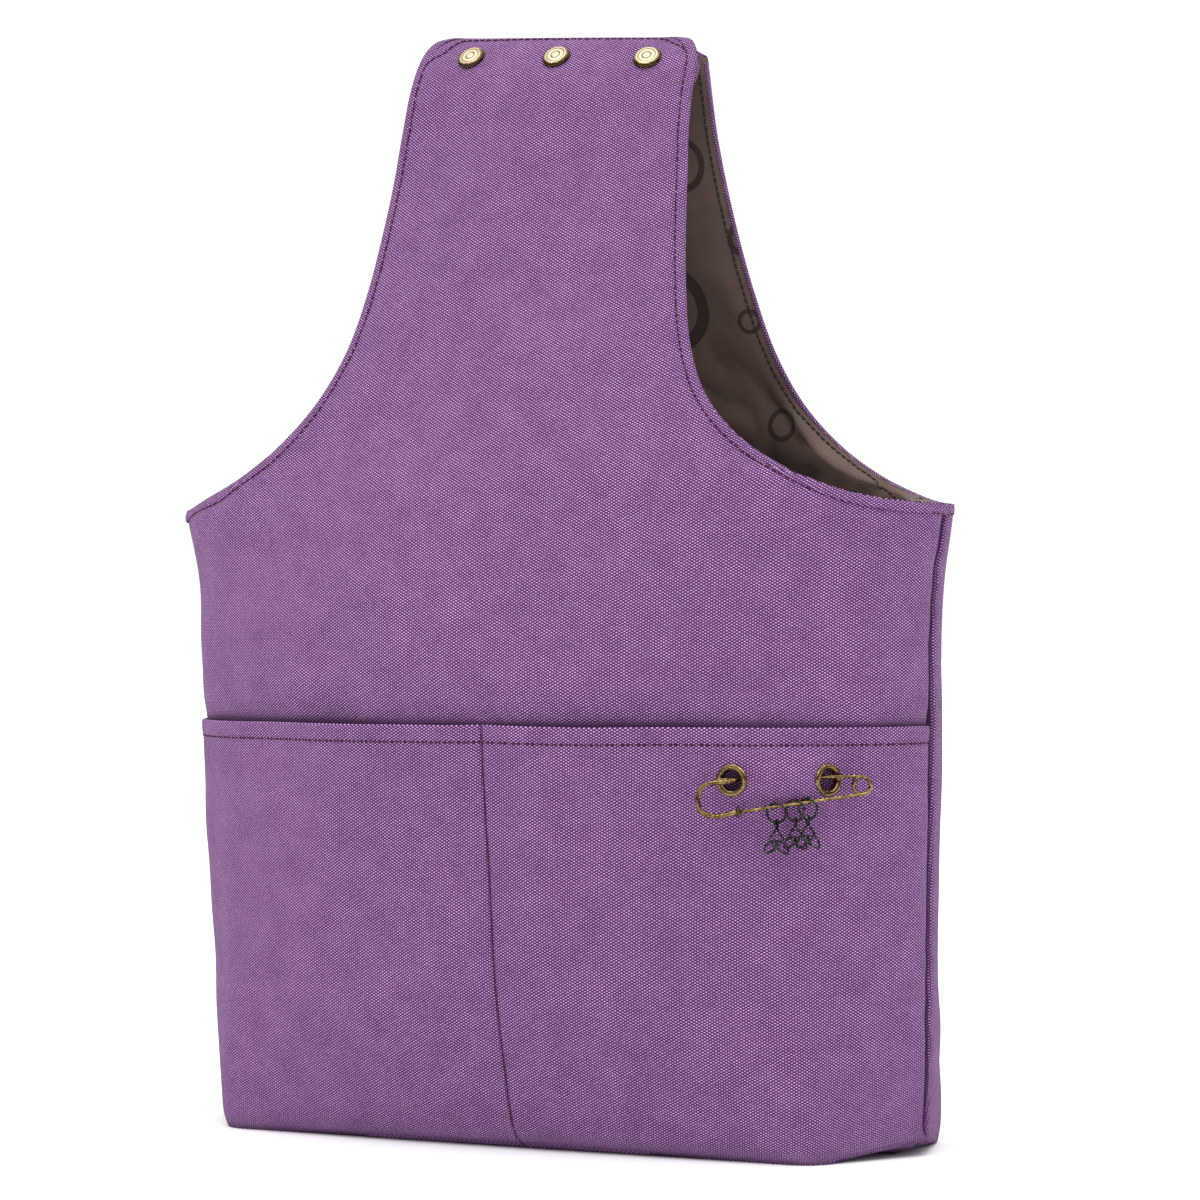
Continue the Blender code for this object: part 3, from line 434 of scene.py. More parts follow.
def put(name, points, faces, made_of, uv=None, smooth=True):
    """A mesh object. Points and uv are in millimetres."""
    mesh = bpy.data.meshes.new(name)
    mesh.from_pydata((np.asarray(points) * MM).tolist(), [], [list(map(int, f)) for f in faces])
    mesh.update()
    if uv is not None:
        layer = mesh.uv_layers.new(name="cloth")
        loops = np.empty(len(mesh.loops), np.int32)
        mesh.loops.foreach_get("vertex_index", loops)
        layer.data.foreach_set("uv", (np.asarray(uv)[loops] * MM).astype(np.float32).ravel())
    mesh.materials.append(made_of)
    if smooth:
        mesh.shade_smooth()
    obj = bpy.data.objects.new(name, mesh)
    bpy.context.scene.collection.objects.link(obj)
    return obj


def facing_out(obj):
    """Turns the faces outwards where the closed mesh came out inside out."""
    mesh = obj.data
    mesh.calc_loop_triangles()
    co = np.array([v.co[:] for v in mesh.vertices])
    tri = np.array([t.vertices[:] for t in mesh.loop_triangles])
    if np.einsum("ij,ij->", co[tri[:, 0]], np.cross(co[tri[:, 1]], co[tri[:, 2]])) < 0:
        mesh.flip_normals()
    return obj


def grid_cells(rows, cols):
    """The corners of each cell of a grid."""
    index = np.arange(rows * cols).reshape(rows, cols)
    corners = (index[:-1, :-1], index[:-1, 1:], index[1:, 1:], index[1:, :-1])
    return np.stack(corners, axis=2).reshape(-1, 4)


def grid_tree(grid):
    """A grid's surface, for finding the nearest point on it."""
    cells = grid_cells(*grid.shape[:2]).tolist()
    return BVHTree.FromPolygons([Vector(p) for p in grid.reshape(-1, 3)], cells)


def sheet_mesh(name, outer, inner, cloth, made_of, painted_shade):
    """A closed sheet of cloth between two grids. Painted shade, from 0 to 1, is how far the cloth is darkened
    as if in shade.
    """
    rows, cols = outer.shape[:2]
    points = np.concatenate([outer.reshape(-1, 3), inner.reshape(-1, 3)])
    uv = np.concatenate([cloth.reshape(-1, 2)] * 2)
    cells = grid_cells(rows, cols)
    index = np.arange(rows * cols).reshape(rows, cols)
    under = rows * cols
    faces = list(cells) + list(cells[:, ::-1] + under)
    edge = list(index[0]) + list(index[1:, -1]) + list(index[-1, -2::-1]) + list(index[-2:0:-1, 0])
    for k, m in zip(edge, edge[1:] + edge[:1]):
        faces.append((m, k, k + under, m + under))
    obj = facing_out(put(name, points, faces, made_of, uv))
    # The painted shade is kept as a point attribute, and the cloth materials darken by it.
    depth = obj.data.attributes.new("painted_shade", "FLOAT", "POINT")
    depth.data.foreach_set("value", np.concatenate([painted_shade.ravel()] * 2).astype(np.float32))
    return obj


def swept(name, rings, made_of, uv=None, turn=None):
    """A surface through rings of points. With a turn, the last ring joins the first, that many points on."""
    count, sides = len(rings), len(rings[0])
    faces = []
    for i in range(count - 1 if turn is None else count):
        n, shift = (i + 1) % count, turn if i == count - 1 else 0
        for k in range(sides):
            m = (k + 1) % sides
            faces.append((i * sides + k, i * sides + m, n * sides + (m + shift) % sides,
                          n * sides + (k + shift) % sides))
    if turn is None:
        faces.append(tuple(range(sides)))
        faces.append(tuple(reversed(range((count - 1) * sides, count * sides))))
    return facing_out(put(name, np.concatenate(rings), faces, made_of, uv))


def tube_rings(points, radii, sides, ring):
    """Rings of points round a line, square to it and not twisted from one to the next."""
    points = np.asarray(points, float)
    count = len(points)
    radii = [radii] * count if np.isscalar(radii) else radii
    rings, across = [], None
    for i in range(count):
        after = points[(i + 1) % count] if ring or i < count - 1 else points[i]
        before = points[i - 1] if ring or i > 0 else points[i]
        along = (after - before) / np.linalg.norm(after - before)
        if across is None:
            across = np.cross(along, UP if abs(along[2]) < 0.9 else ALONG)
        across = across - along * (across @ along)
        across /= np.linalg.norm(across)
        second = np.cross(along, across)
        angle = np.linspace(0, 2 * math.pi, sides, endpoint=False)[:, None]
        rings.append(points[i] + (across * np.cos(angle) + second * np.sin(angle)) * radii[i])
    return rings


def wire(name, points, radii, made_of, sides=16, ring=False):
    """A round wire along a line, or round a closed one."""
    rings = tube_rings(points, radii, sides, ring)
    turn = int(np.argmin(np.linalg.norm(rings[0] - rings[-1][0], axis=1))) if ring else None
    return swept(name, rings, made_of, turn=turn)


def turned(name, profile, made_of, matrix, steps=64):
    """A round piece from a closed (radius, height) profile."""
    angle = np.linspace(0, 2 * math.pi, steps, endpoint=False)
    points, faces, rings = [], [], []
    for radius, height in profile:
        if radius == 0.0:
            rings.append([len(points)])
            points.append((0.0, 0.0, height))
            continue
        rings.append(list(range(len(points), len(points) + steps)))
        points += [(radius * math.cos(a), radius * math.sin(a), height) for a in angle]
    turned_at = [(math.hypot(p[0], p[1]), p[2]) for p in points]
    pairs = list(zip(rings, rings[1:])) + ([(rings[-1], rings[0])] if len(rings[0]) > 1 else [])
    for low, high in pairs:
        for i in range(steps):
            k = (i + 1) % steps
            corners = [low[i % len(low)], low[k % len(low)], high[k % len(high)], high[i % len(high)]]
            faces.append(tuple(dict.fromkeys(corners)))
    placed = [matrix @ Vector(p) for p in points]
    obj = facing_out(put(name, [p[:] for p in placed], faces, made_of, np.array(turned_at)))
    obj.data.set_sharp_from_angle(angle=SHARP_EDGE)
    return obj


def facing(point, normal, up=(0.0, 0.0, 1.0)):
    """Where a turned piece stands: at the point, with its own axis along the normal."""
    z = Vector(normal).normalized()
    x = Vector(up).cross(z).normalized()
    turn = Matrix((x, z.cross(x), z)).transposed().to_4x4()
    return Matrix.Translation(Vector(point)) @ turn


def curve_through(points, steps):
    """A smooth curve through a few points."""
    points = [np.array(p, float) for p in points]
    padded = [points[0] * 2 - points[1]] + points + [points[-1] * 2 - points[-2]]
    curve = []
    for a, b, c, d in zip(padded, padded[1:], padded[2:], padded[3:]):
        for i in range(steps):
            t = i / steps
            curve.append(0.5 * ((2 * b) + (c - a) * t + (2 * a - 5 * b + 4 * c - d) * t * t
                                + (3 * b - a - 3 * c + d) * t * t * t))
    return np.array(curve + [points[-1]])


# ---------------------------------------------------------------- materials

class Look:
    """A material's node tree, with short calls for its nodes."""

    def __init__(self, name):
        self.material = bpy.data.materials.new(name)
        self.material.use_nodes = True
        self.tree = self.material.node_tree
        self.shader = self.tree.nodes["Principled BSDF"]

    def link(self, value, socket):
        if hasattr(value, "is_output"):
            self.tree.links.new(value, socket)
        else:
            socket.default_value = value

    def math(self, operation, a, b=0.0, c=0.0):
        node = self.tree.nodes.new("ShaderNodeMath")
        node.operation = operation
        for value, socket in zip((a, b, c), node.inputs):
            self.link(value, socket)
        return node.outputs[0]

    def mix(self, share, a, b, blend="MIX"):
        node = self.tree.nodes.new("ShaderNodeMix")
        node.data_type = "RGBA"
        node.blend_type = blend
        self.link(share, node.inputs[0])
        self.link(a, node.inputs[6])
        self.link(b, node.inputs[7])
        return node.outputs[2]

    def ranged(self, value, low, high, to_low=0.0, to_high=1.0):
        node = self.tree.nodes.new("ShaderNodeMapRange")
        node.interpolation_type = "SMOOTHSTEP"
        for number, socket in zip((value, low, high, to_low, to_high), node.inputs):
            self.link(number, socket)
        return node.outputs[0]

    def noise(self, vector, scale, detail=2.0, roughness=0.5, dimensions="3D"):
        node = self.tree.nodes.new("ShaderNodeTexNoise")
        node.noise_dimensions = dimensions
        self.link(vector, node.inputs["Vector"])
        node.inputs["Scale"].default_value = scale
        node.inputs["Detail"].default_value = detail
        node.inputs["Roughness"].default_value = roughness
        return node.outputs[0]

    def random(self, value):
        node = self.tree.nodes.new("ShaderNodeTexWhiteNoise")
        node.noise_dimensions = "1D"
        self.link(value, node.inputs["W"])
        return node.outputs["Value"]

    def cloth(self):
        """The cloth coordinates in metres: the pair, across, and up."""
        node = self.tree.nodes.new("ShaderNodeUVMap")
        node.uv_map = "cloth"
        parts = self.tree.nodes.new("ShaderNodeSeparateXYZ")
        self.tree.links.new(node.outputs[0], parts.inputs[0])
        return node.outputs[0], parts.outputs[0], parts.outputs[1]

    def painted_shade(self):
        # The painted-shade attribute, which the materials darken the cloth by.
        node = self.tree.nodes.new("ShaderNodeAttribute")
        node.attribute_name = "painted_shade"
        return node.outputs["Fac"]

    def place(self):
        node = self.tree.nodes.new("ShaderNodeTexCoord")
        return node.outputs["Object"]

    def bump(self, height, distance, strength=1.0):
        node = self.tree.nodes.new("ShaderNodeBump")
        node.inputs["Strength"].default_value = strength
        node.inputs["Distance"].default_value = distance
        self.link(height, node.inputs["Height"])
        return node.outputs[0]

    def set(self, **values):
        for name, value in values.items():
            self.link(value, self.shader.inputs[name.replace("_", " ")])
        return self.material


WARP_PITCH = 0.00104
WEFT_PITCH = 0.00061


def canvas_look():
    """Plain weave: pale warp over purple weft, with dark gaps between the threads."""
    look = Look("purple_canvas")
    pair, across, up = look.cloth()
    wander = look.math("SUBTRACT", look.noise(pair, 130.0, 1.0, dimensions="2D"), 0.5)
    wander_2 = look.math("SUBTRACT", look.noise(pair, 190.0, 1.0, dimensions="2D"), 0.5)
    u = look.math("DIVIDE", look.math("MULTIPLY_ADD", wander, 0.0006, across), WARP_PITCH)
    v = look.math("DIVIDE", look.math("MULTIPLY_ADD", wander_2, 0.00035, up), WEFT_PITCH)
    crossing = look.math("MULTIPLY", look.math("SINE", look.math("MULTIPLY", u, math.pi)),
                         look.math("SINE", look.math("MULTIPLY", v, math.pi)))
    cell = look.math("MULTIPLY_ADD", look.math("FLOOR", v), 7919.0, look.math("FLOOR", u))
    own = look.random(cell)
    fibre = look.noise(pair, 1700.0, 2.0, 0.6, dimensions="2D")
    worn = look.noise(pair, 70.0, 3.0, 0.62, dimensions="2D")
    cloud = look.noise(pair, 16.0, 2.0, 0.5, dimensions="2D")
    over = look.ranged(crossing, -0.15, 0.45)
    lift = look.math("MULTIPLY_ADD", own, 0.2, look.math("MULTIPLY_ADD", worn, 0.3, 0.15))
    bright = look.mix(look.ranged(lift, 0.0, 0.8), (0.365, 0.150, 0.420, 1.0), (0.800, 0.460, 0.880, 1.0))
    weft = look.mix(fibre, (0.068, 0.016, 0.090, 1.0), (0.105, 0.032, 0.135, 1.0))
    colour = look.mix(over, weft, bright)
    raised = look.math("ABSOLUTE", crossing)
    colour = look.mix(look.ranged(raised, 0.02, 0.42), (0.026, 0.005, 0.036, 1.0), colour)
    # Deep in a seam the weave is lost in shade.
    shade_share = look.ranged(look.painted_shade(), 0.12, 0.5)
    colour = look.mix(shade_share, colour, (0.080, 0.025, 0.102, 1.0))
    shade = look.math("MULTIPLY_ADD", worn, 0.08, look.math("MULTIPLY_ADD", cloud, 0.08, 0.77))
    # Painted shade: the colour is darkened further where the painted-shade attribute is high. Worn and cloud
    # above are random tone.
    shade = look.math("MULTIPLY", shade, look.math("MULTIPLY_ADD", look.painted_shade(), -0.90, 1.0))
    tint = look.tree.nodes.new("ShaderNodeCombineColor")
    for socket in tint.inputs:
        look.link(shade, socket)
    colour = look.mix(1.0, colour, tint.outputs[0], "MULTIPLY")
    height = look.math("MULTIPLY_ADD", fibre, 0.15, look.math("POWER", raised, 0.6))
    height = look.math("MULTIPLY", height, look.math("SUBTRACT", 1.0, shade_share))
    return look.set(Base_Color=colour, Roughness=0.9, Normal=look.bump(height, 0.0002, 1.0),
                    Sheen_Weight=0.06, Sheen_Roughness=0.5, Sheen_Tint=(0.85, 0.7, 0.9, 1.0),
                    Specular_IOR_Level=0.2)


# Printed rings of the lining, in one repeat: (across, up, radius, half width of the line).
PRINT_REPEAT = (96.0, 128.0)
PRINT = ((30.0, 30.0, 17.5, 2.7), (70.0, 22.0, 4.6, 0.8), (74.0, 58.0, 7.0, 1.1), (22.0, 70.0, 4.2, 0.8),
         (48.0, 92.0, 10.5, 1.3), (80.0, 104.0, 6.0, 1.0), (18.0, 112.0, 5.5, 0.9))


def lining_look():
    """Brown lining, printed with dark rings."""
    look = Look("brown_lining")
    pair, across, up = look.cloth()
    width, height = (side * MM for side in PRINT_REPEAT)
    x = look.math("WRAP", across, width, 0.0)
    y = look.math("WRAP", up, height, 0.0)
    printed = 0.0
    for at_x, at_y, radius, half in PRINT:
        dx = look.math("SUBTRACT", x, at_x * MM)
        dy = look.math("SUBTRACT", y, at_y * MM)
        squares = look.math("ADD", look.math("MULTIPLY", dx, dx), look.math("MULTIPLY", dy, dy))
        far = look.math("SQRT", squares)
        off = look.math("ABSOLUTE", look.math("SUBTRACT", far, radius * MM))
        ring = look.ranged(off, half * MM, (half + 0.35) * MM, 1.0, 0.0)
        printed = ring if printed == 0.0 else look.math("MAXIMUM", printed, ring)
    tone = look.noise(pair, 60.0, 3.0, 0.6, dimensions="2D")
    plain = look.mix(tone, (0.135, 0.092, 0.078, 1.0), (0.205, 0.145, 0.125, 1.0))
    ink = look.mix(tone, (0.055, 0.036, 0.033, 1.0), (0.082, 0.056, 0.052, 1.0))
    colour = look.mix(printed, plain, ink)
    # Painted shade: the lining is darkened where the painted-shade attribute is high, more towards the bottom
    # of the bag.
    colour = look.mix(look.math("MULTIPLY", look.painted_shade(), 0.45), colour, (0.020, 0.013, 0.012, 1.0))
    twill = look.math("SINE", look.math("MULTIPLY", look.math("ADD", across, up), 2 * math.pi / 0.00045))
    fibre = look.noise(pair, 2500.0, 1.0, 0.5, dimensions="2D")
    relief = look.math("MULTIPLY_ADD", fibre, 0.8, look.math("MULTIPLY", twill, 0.5))
    rough = look.ranged(printed, 0.0, 1.0, 0.50, 0.60)
    return look.set(Base_Color=colour, Roughness=rough, Normal=look.bump(relief, 0.00005, 0.6),
                    Sheen_Weight=0.06, Sheen_Roughness=0.35, Sheen_Tint=(0.9, 0.78, 0.72, 1.0),
                    Specular_IOR_Level=0.12, Specular_Tint=(0.75, 0.58, 0.50, 1.0))


def thread_look(name, dark, light):
    """Twisted sewing thread."""
    look = Look(name)
    place = look.place()
    strand = look.noise(place, 2600.0, 2.0, 0.6)
    colour = look.mix(strand, dark, light)
    return look.set(Base_Color=colour, Roughness=0.7, Normal=look.bump(strand, 0.0001, 0.5),
                    Specular_IOR_Level=0.2)


def metal_look(name, dark, mid, bright, rough, cap=False):
    """Cast metal with a dark patina, worn bright where it rubs. A cap is made bright on its flat top, partly
    wear and partly a painted highlight, and darker at its rim as painted shade.
    """
    look = Look(name)
    place = look.place()
    patina = look.noise(place, 260.0, 3.0, 0.55)
    scratch = look.noise(place, 1900.0, 2.0, 0.6)
    colour = look.mix(look.ranged(patina, 0.40, 0.60), dark, mid)
    colour = look.mix(look.ranged(scratch, 0.50, 0.78), colour, bright)
    if cap:
        _, radius, _ = look.cloth()
        # Bright flat top: partly wear, partly a painted highlight.
        colour = look.mix(look.ranged(radius, 0.0042, 0.0049, 0.85, 0.0), colour, bright)
        for middle, half in ((0.0019, 0.0003), (0.00375, 0.00025)):
            off = look.math("ABSOLUTE", look.math("SUBTRACT", radius, middle))
            colour = look.mix(look.ranged(off, half * 0.5, half * 1.4, 0.9, 0.0), colour, dark)
        # Painted shade: the cap's rim is darkened.
        colour = look.mix(look.ranged(radius, 0.0048, 0.0055, 0.0, 0.85), colour, dark)
    roughness = look.ranged(patina, 0.3, 0.7, rough + 0.12, rough)
    return look.set(Base_Color=colour, Roughness=roughness, Metallic=1.0,
                    Normal=look.bump(patina, 0.00002, 0.4))


canvas = canvas_look()
lining = lining_look()
thread = thread_look("dark_thread", (0.022, 0.004, 0.015, 1.0), (0.070, 0.015, 0.040, 1.0))
brown_thread = thread_look("brown_thread", (0.016, 0.010, 0.009, 1.0), (0.060, 0.042, 0.036, 1.0))
brass = metal_look("antique_brass", (0.080, 0.050, 0.018, 1.0), (0.21, 0.140, 0.052, 1.0),
                   (0.62, 0.46, 0.22, 1.0), 0.12)
cap_brass = metal_look("cap_brass_wear_and_painted_light", (0.040, 0.026, 0.010, 1.0), (0.15, 0.100, 0.040, 1.0),
                       (0.58, 0.48, 0.31, 1.0), 0.12, cap=True)
bronze = metal_look("dark_bronze", (0.009, 0.008, 0.008, 1.0), (0.028, 0.025, 0.026, 1.0),
                    (0.28, 0.27, 0.28, 1.0), 0.20)


# ---------------------------------------------------------------- panels

STEP = 3.6


class Panel:
    """One side of the bag: its fine grid of points on the outer face, normals and cloth coordinates."""

    def __init__(self, body, strap, side, seed, behind=None):
        levels = [columns(body_line(*station, side)) for station in body]
        rows = base_rows(levels[0], side) + levels
        corner = len(rows) - 1
        rows += [columns(strap_line(station, side)) for station in strap]
        self.side = side
        self.grid, first = refined(rows, STEP, corner, (2.4, 1.2, 0.5))
        self.base = first[len(BASE_SHARES)]
        self.corner = first[corner]
        self.normals = inward(self.grid, side, self.base)
        self.cloth = cloth_coordinates(self.grid)
        run, length = row_distance(self.grid)
        self.from_end = np.minimum(run, length - run)
        z = self.grid[:, :, 2]
        free = smooth_step(self.from_end / 45.0) * smooth_step((z - 12.0) / 50.0)
        free *= smooth_step((452.0 - z) / 40.0)
        if behind is not None:
            free *= smooth_step((z - 150.0) / 22.0)
        swell = 1.0 * waves(self.cloth, seed, 120.0) + 0.4 * waves(self.cloth, seed + 1, 46.0)
        self.grid = self.grid + self.normals * (swell * free)[:, :, None]
        # The seam's second value is painted shade along its fold.
        self.seam, self.painted_shade = seam_pull(self.from_end, z)
        self.shadow = np.zeros_like(z)
        if behind is not None:
            self.keep_behind(behind)
            # The hem of the pocket shades the cloth just above it.
            above = z - POCKET_BODY[-1][0]
            self.shadow = 0.55 * np.exp(-np.maximum(above, 0.0) / 2.0) * (above > -12.0)
        self.tree = grid_tree(self.grid)

    def keep_behind(self, pocket):
        """Moves the points behind the pocket in, until they clear its inner face."""
        points = self.grid + self.normals * self.seam[:, :, None]
        z = self.grid[:, :, 2]
        push = np.zeros_like(z)
        for i, j in zip(*np.nonzero((z > 1.0) & (z < 172.5))):
            found, normal, _, _ = pocket.find_nearest(Vector(points[i, j]))
            normal = np.array(normal)
            normal *= np.sign(normal @ self.normals[i, j]) or 1.0
            clear = (points[i, j] - np.array(found)) @ normal
            push[i, j] = max(0.0, 0.4 - clear)
        top = int(np.nonzero(z[:, z.shape[1] // 2] < 172.5)[0].max())
        fade = np.exp(-((z[top + 1:] - 172.5) / 7.0)**2)
        push[top + 1:] = np.where(z[top + 1:] < 200.0, push[top] * fade, 0.0)
        push = np.minimum(push, 6.0)
        self.grid = self.grid + self.normals * push[:, :, None]

    def at(self, point):
        """The nearest point of the outer face, its inward normal and its cloth coordinates."""
        found, _, index, _ = self.tree.find_nearest(Vector(point))
        cols = self.grid.shape[1] - 1
        i, j = divmod(index, cols)
        corners = self.grid[i:i + 2, j:j + 2].reshape(-1, 3)
        weight = 1.0 / (np.linalg.norm(corners - np.array(found), axis=1) + 0.05)**2
        weight /= weight.sum()
        normal = (self.normals[i:i + 2, j:j + 2].reshape(-1, 3) * weight[:, None]).sum(axis=0)
        pair = (self.cloth[i:i + 2, j:j + 2].reshape(-1, 2) * weight[:, None]).sum(axis=0)
        return np.array(found), normal / np.linalg.norm(normal), pair

    def on_lining(self, line, tree):
        """A line moved onto the lining's inner face, which the tree holds."""
        points = [np.array(tree.find_nearest(Vector(p + n * LAYERS))[0]) for p, n in zip(*line)]
        return np.array(points), -line[1]

    def held(self, points):
        """Keeps points of the body on this panel's side of the seam."""
        kept, y = points.copy(), points[:, :, 1]
        inside = self.grid[:, :, 2] < ARMPIT + 1.0
        kept[:, :, 1] = np.where(inside, self.side * np.maximum(self.side * y, 0.0), y)
        return kept


def relaxed(path, spacing, rounds):
    """A path respaced evenly, with its sharp corners eased."""
    length = np.linalg.norm(np.diff(path, axis=0), axis=1).sum()
    even = respaced(path, np.linspace(0.0, 1.0, int(length / spacing) + 1))
    eased(even, rounds)
    return even


class Border:
    """A sewn edge of a panel: a path, and at each point the way in over the cloth and the normal."""

    def __init__(self, panel, path):
        self.panel = panel
        self.path = relaxed(path, 1.6, 6)
        tangent = unit(np.gradient(self.path, axis=0))
        self.normal = np.array([panel.at(p)[1] for p in self.path])
        eased(self.normal, 10)
        self.normal = unit(self.normal - tangent * np.sum(self.normal * tangent, axis=1, keepdims=True))
        way = np.cross(self.normal, tangent)
        gap = 0.0
        for p, w in zip(self.path[::9], way[::9]):
            gap += np.linalg.norm(panel.at(p + 3 * w)[0] - p - 3 * w)
            gap -= np.linalg.norm(panel.at(p - 3 * w)[0] - p + 3 * w)
        self.way = way if gap < 0 else -way

    def line(self, inset, depth):
        """A line over the cloth at this distance from the edge and this deep under its outer face."""
        points, normals = [], []
        # Over the top, at the tab's end, the topstitching runs further in.
        at_end = smooth_step((self.path[:, 2] - 452.0) / 7.0) * (self.panel.side < 0)
        for p, w, more in zip(self.path, self.way, END_INSET * at_end):
            found, normal, _ = self.panel.at(p + (inset + more) * w)
            points.append(found + normal * depth)
            normals.append(normal)
        points = np.array(points)
        eased(points, 4)
        return points, np.array(normals)

    def band(self, name, made_of, profile):
        """The turned edge: a rounded band from the edge in to the stitches."""
        flat = np.array(profile)
        unrolled = run_along(flat)
        stitched = np.array([self.panel.at(p + 4.5 * w)[2] for p, w in zip(self.path, self.way)])
        edge = np.array([self.panel.at(p + 0.5 * w)[2] for p, w in zip(self.path, self.way)])
        for line in (stitched, edge):
            eased(line, 12)
        rings, uv = [], []
        for p, w, n, start, end in zip(self.path, self.way, self.normal, stitched, edge):
            rings.append(np.array([p + w * d + n * h for d, h in profile]))
            outward = (end - start) / max(np.linalg.norm(end - start), 1e-6)
            uv += [start + outward * length for length in unrolled]
        return swept(name, rings, made_of, np.array(uv))


STITCH_PITCH = 3.1
STITCH_LENGTH = 2.5
STITCH_RADIUS = 0.31
LINING_STITCH_RADIUS = 0.55
STITCH_INSET = 4.2
END_INSET = 6.2
# One stitch from end to end: (share of its length, share of its radius, how far out it lies).
STITCH_SHAPE = ((-0.5, 0.5, 0.20), (-0.42, 0.9, -0.06), (0.0, 1.0, -0.14), (0.42, 0.9, -0.06),
                (0.5, 0.5, 0.20))


def stitches(name, points, normals, made_of, radius=STITCH_RADIUS):
    """A row of machine stitches: short rounded strands that dip into the cloth at both ends."""
    run = run_along(points)
    verts, faces, sides = [], [], 7
    for mark in np.arange(STITCH_PITCH, run[-1] - STITCH_PITCH, STITCH_PITCH):
        def sample(s, of):
            return np.array([np.interp(s, run, of[:, i]) for i in range(3)])
        along = sample(mark + 0.6, points) - sample(mark - 0.6, points)
        along /= np.linalg.norm(along)
        normal = sample(mark, normals)
        normal -= along * (normal @ along)
        normal /= np.linalg.norm(normal)
        across = np.cross(along, normal)
        start = len(verts)
        for share, size, sink in STITCH_SHAPE:
            centre = sample(mark + share * STITCH_LENGTH, points) + normal * sink
            for k in range(sides):
                angle = 2 * math.pi * k / sides
                verts.append(centre + (across * math.cos(angle) + normal * math.sin(angle)) * radius * size)
        for i in range(len(STITCH_SHAPE) - 1):
            for k in range(sides):
                m = (k + 1) % sides
                a = start + i * sides
                faces.append((a + k, a + m, a + sides + m, a + sides + k))
        faces.append(tuple(start + k for k in reversed(range(sides))))
        faces.append(tuple(start + (len(STITCH_SHAPE) - 1) * sides + k for k in range(sides)))
    return facing_out(put(name, np.array(verts), faces, made_of))


def pulled_in(panel, border):
    """The outer grid with its strap edge moved in under the border's band."""
    grid = panel.grid.copy()
    rows, cols = grid.shape[:2]
    sides = [(i, j) for i in range(panel.corner, rows) for j in (0, -1)]
    for i, j in sides + [(rows - 1, j) for j in range(cols)]:
        p = panel.grid[i, j]
        k = int(np.argmin(np.linalg.norm(border.path - p, axis=1)))
        grid[i, j] = panel.at(p + border.way[k] * EDGE_TUCK)[0]
    return grid


BAND = ((4.5, 0.35), (4.1, 0.02), (3.5, -0.20), (2.6, -0.36), (1.6, -0.38), (0.8, -0.22), (0.25, 0.10),
        (0.0, 0.60), (0.0, 1.15), (0.25, 1.60), (0.7, 1.86), (1.2, 1.90), (1.5, 1.75), (1.4, 1.2),
        (2.0, 0.75), (4.3, 0.7))


def channel(panel, border):
    """How far the stitches pull the cloth in over the panel's grid, and how much painted shade lies in their
    groove.
    """
    line, _ = border.line(STITCH_INSET, 0.0)
    pull, groove_shade = np.zeros(panel.grid.shape[:2]), np.zeros(panel.grid.shape[:2])
    for i in range(panel.corner - 3, panel.grid.shape[0]):
        offset = panel.grid[i][:, None, :] - line[None, ::3, :]
        near = np.sqrt((offset**2).sum(axis=2)).min(axis=1)
        pull[i] = 0.28 * np.exp(-(near / 1.6)**2)
        groove_shade[i] = 0.3 * np.exp(-(near / 0.9)**2)
    return pull, groove_shade


def cloth_layers(name, panel, border, replaced, replaced_lining):
    """The panel's canvas and lining, and the lining's inner face."""
    grid = pulled_in(panel, border)
    pull, groove_shade = channel(panel, border)
    pull = pull + panel.seam
    outer = panel.held(grid + panel.normals * pull[:, :, None])
    inner = panel.held(grid + panel.normals * (pull + CANVAS)[:, :, None])
    # Painted shade: the seam folds, the pocket hem's painted shadow and the stitch grooves.
    painted_shade = np.maximum(np.maximum(panel.painted_shade, panel.shadow), groove_shade)
    shell = sheet_mesh("canvas_" + name, outer, inner, panel.cloth, canvas, painted_shade)
    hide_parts(*replaced)
    # The lining hangs a little loose in the body, in soft folds.
    z = panel.grid[:, :, 2]
    loose = (0.25 + 0.75 * smooth_step((335.0 - z) / 60.0)) * smooth_step(panel.from_end / 12.0)
    loose *= smooth_step((425.0 - z) / 40.0)
    folds = np.abs(waves(panel.cloth, 40 + panel.side, 60.0))
    folds += 0.6 * np.abs(waves(panel.cloth, 50 + panel.side, 26.0))
    near_edge = 1.0 - smooth_step(panel.from_end / 9.0)
    gap = STRAP_GAP + 0.25 + (BODY_GAP + 2.6 * folds) * loose * smooth_step((z - 6.0) / 20.0)
    gap = gap * (1.0 - 0.5 * near_edge)
    start = pull + CANVAS + gap
    # At the foot of each side seam the lining is drawn in, clear of the folded canvas.
    drawn = 2.2 * (1.0 - smooth_step((z - 2.0) / 24.0)) * (1.0 - smooth_step(panel.from_end / 12.0))
    grid[:, :, 0] -= np.sign(grid[:, :, 0]) * drawn
    skin = panel.held(grid + panel.normals * start[:, :, None])
    skin_in = panel.held(grid + panel.normals * (start + LINING)[:, :, None])
    # Painted shade for the lining, growing towards the bottom of the bag.
    in_shade = smooth_step((330.0 - z) / 70.0)
    liner = sheet_mesh("lining_" + name, skin, skin_in, panel.cloth, lining, in_shade)
    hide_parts(*replaced_lining)
    return shell, liner, grid_tree(skin_in)


def on_bag(obj):
    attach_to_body(obj, "bag")


def on_bag_and_tab(obj):
    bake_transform(obj)


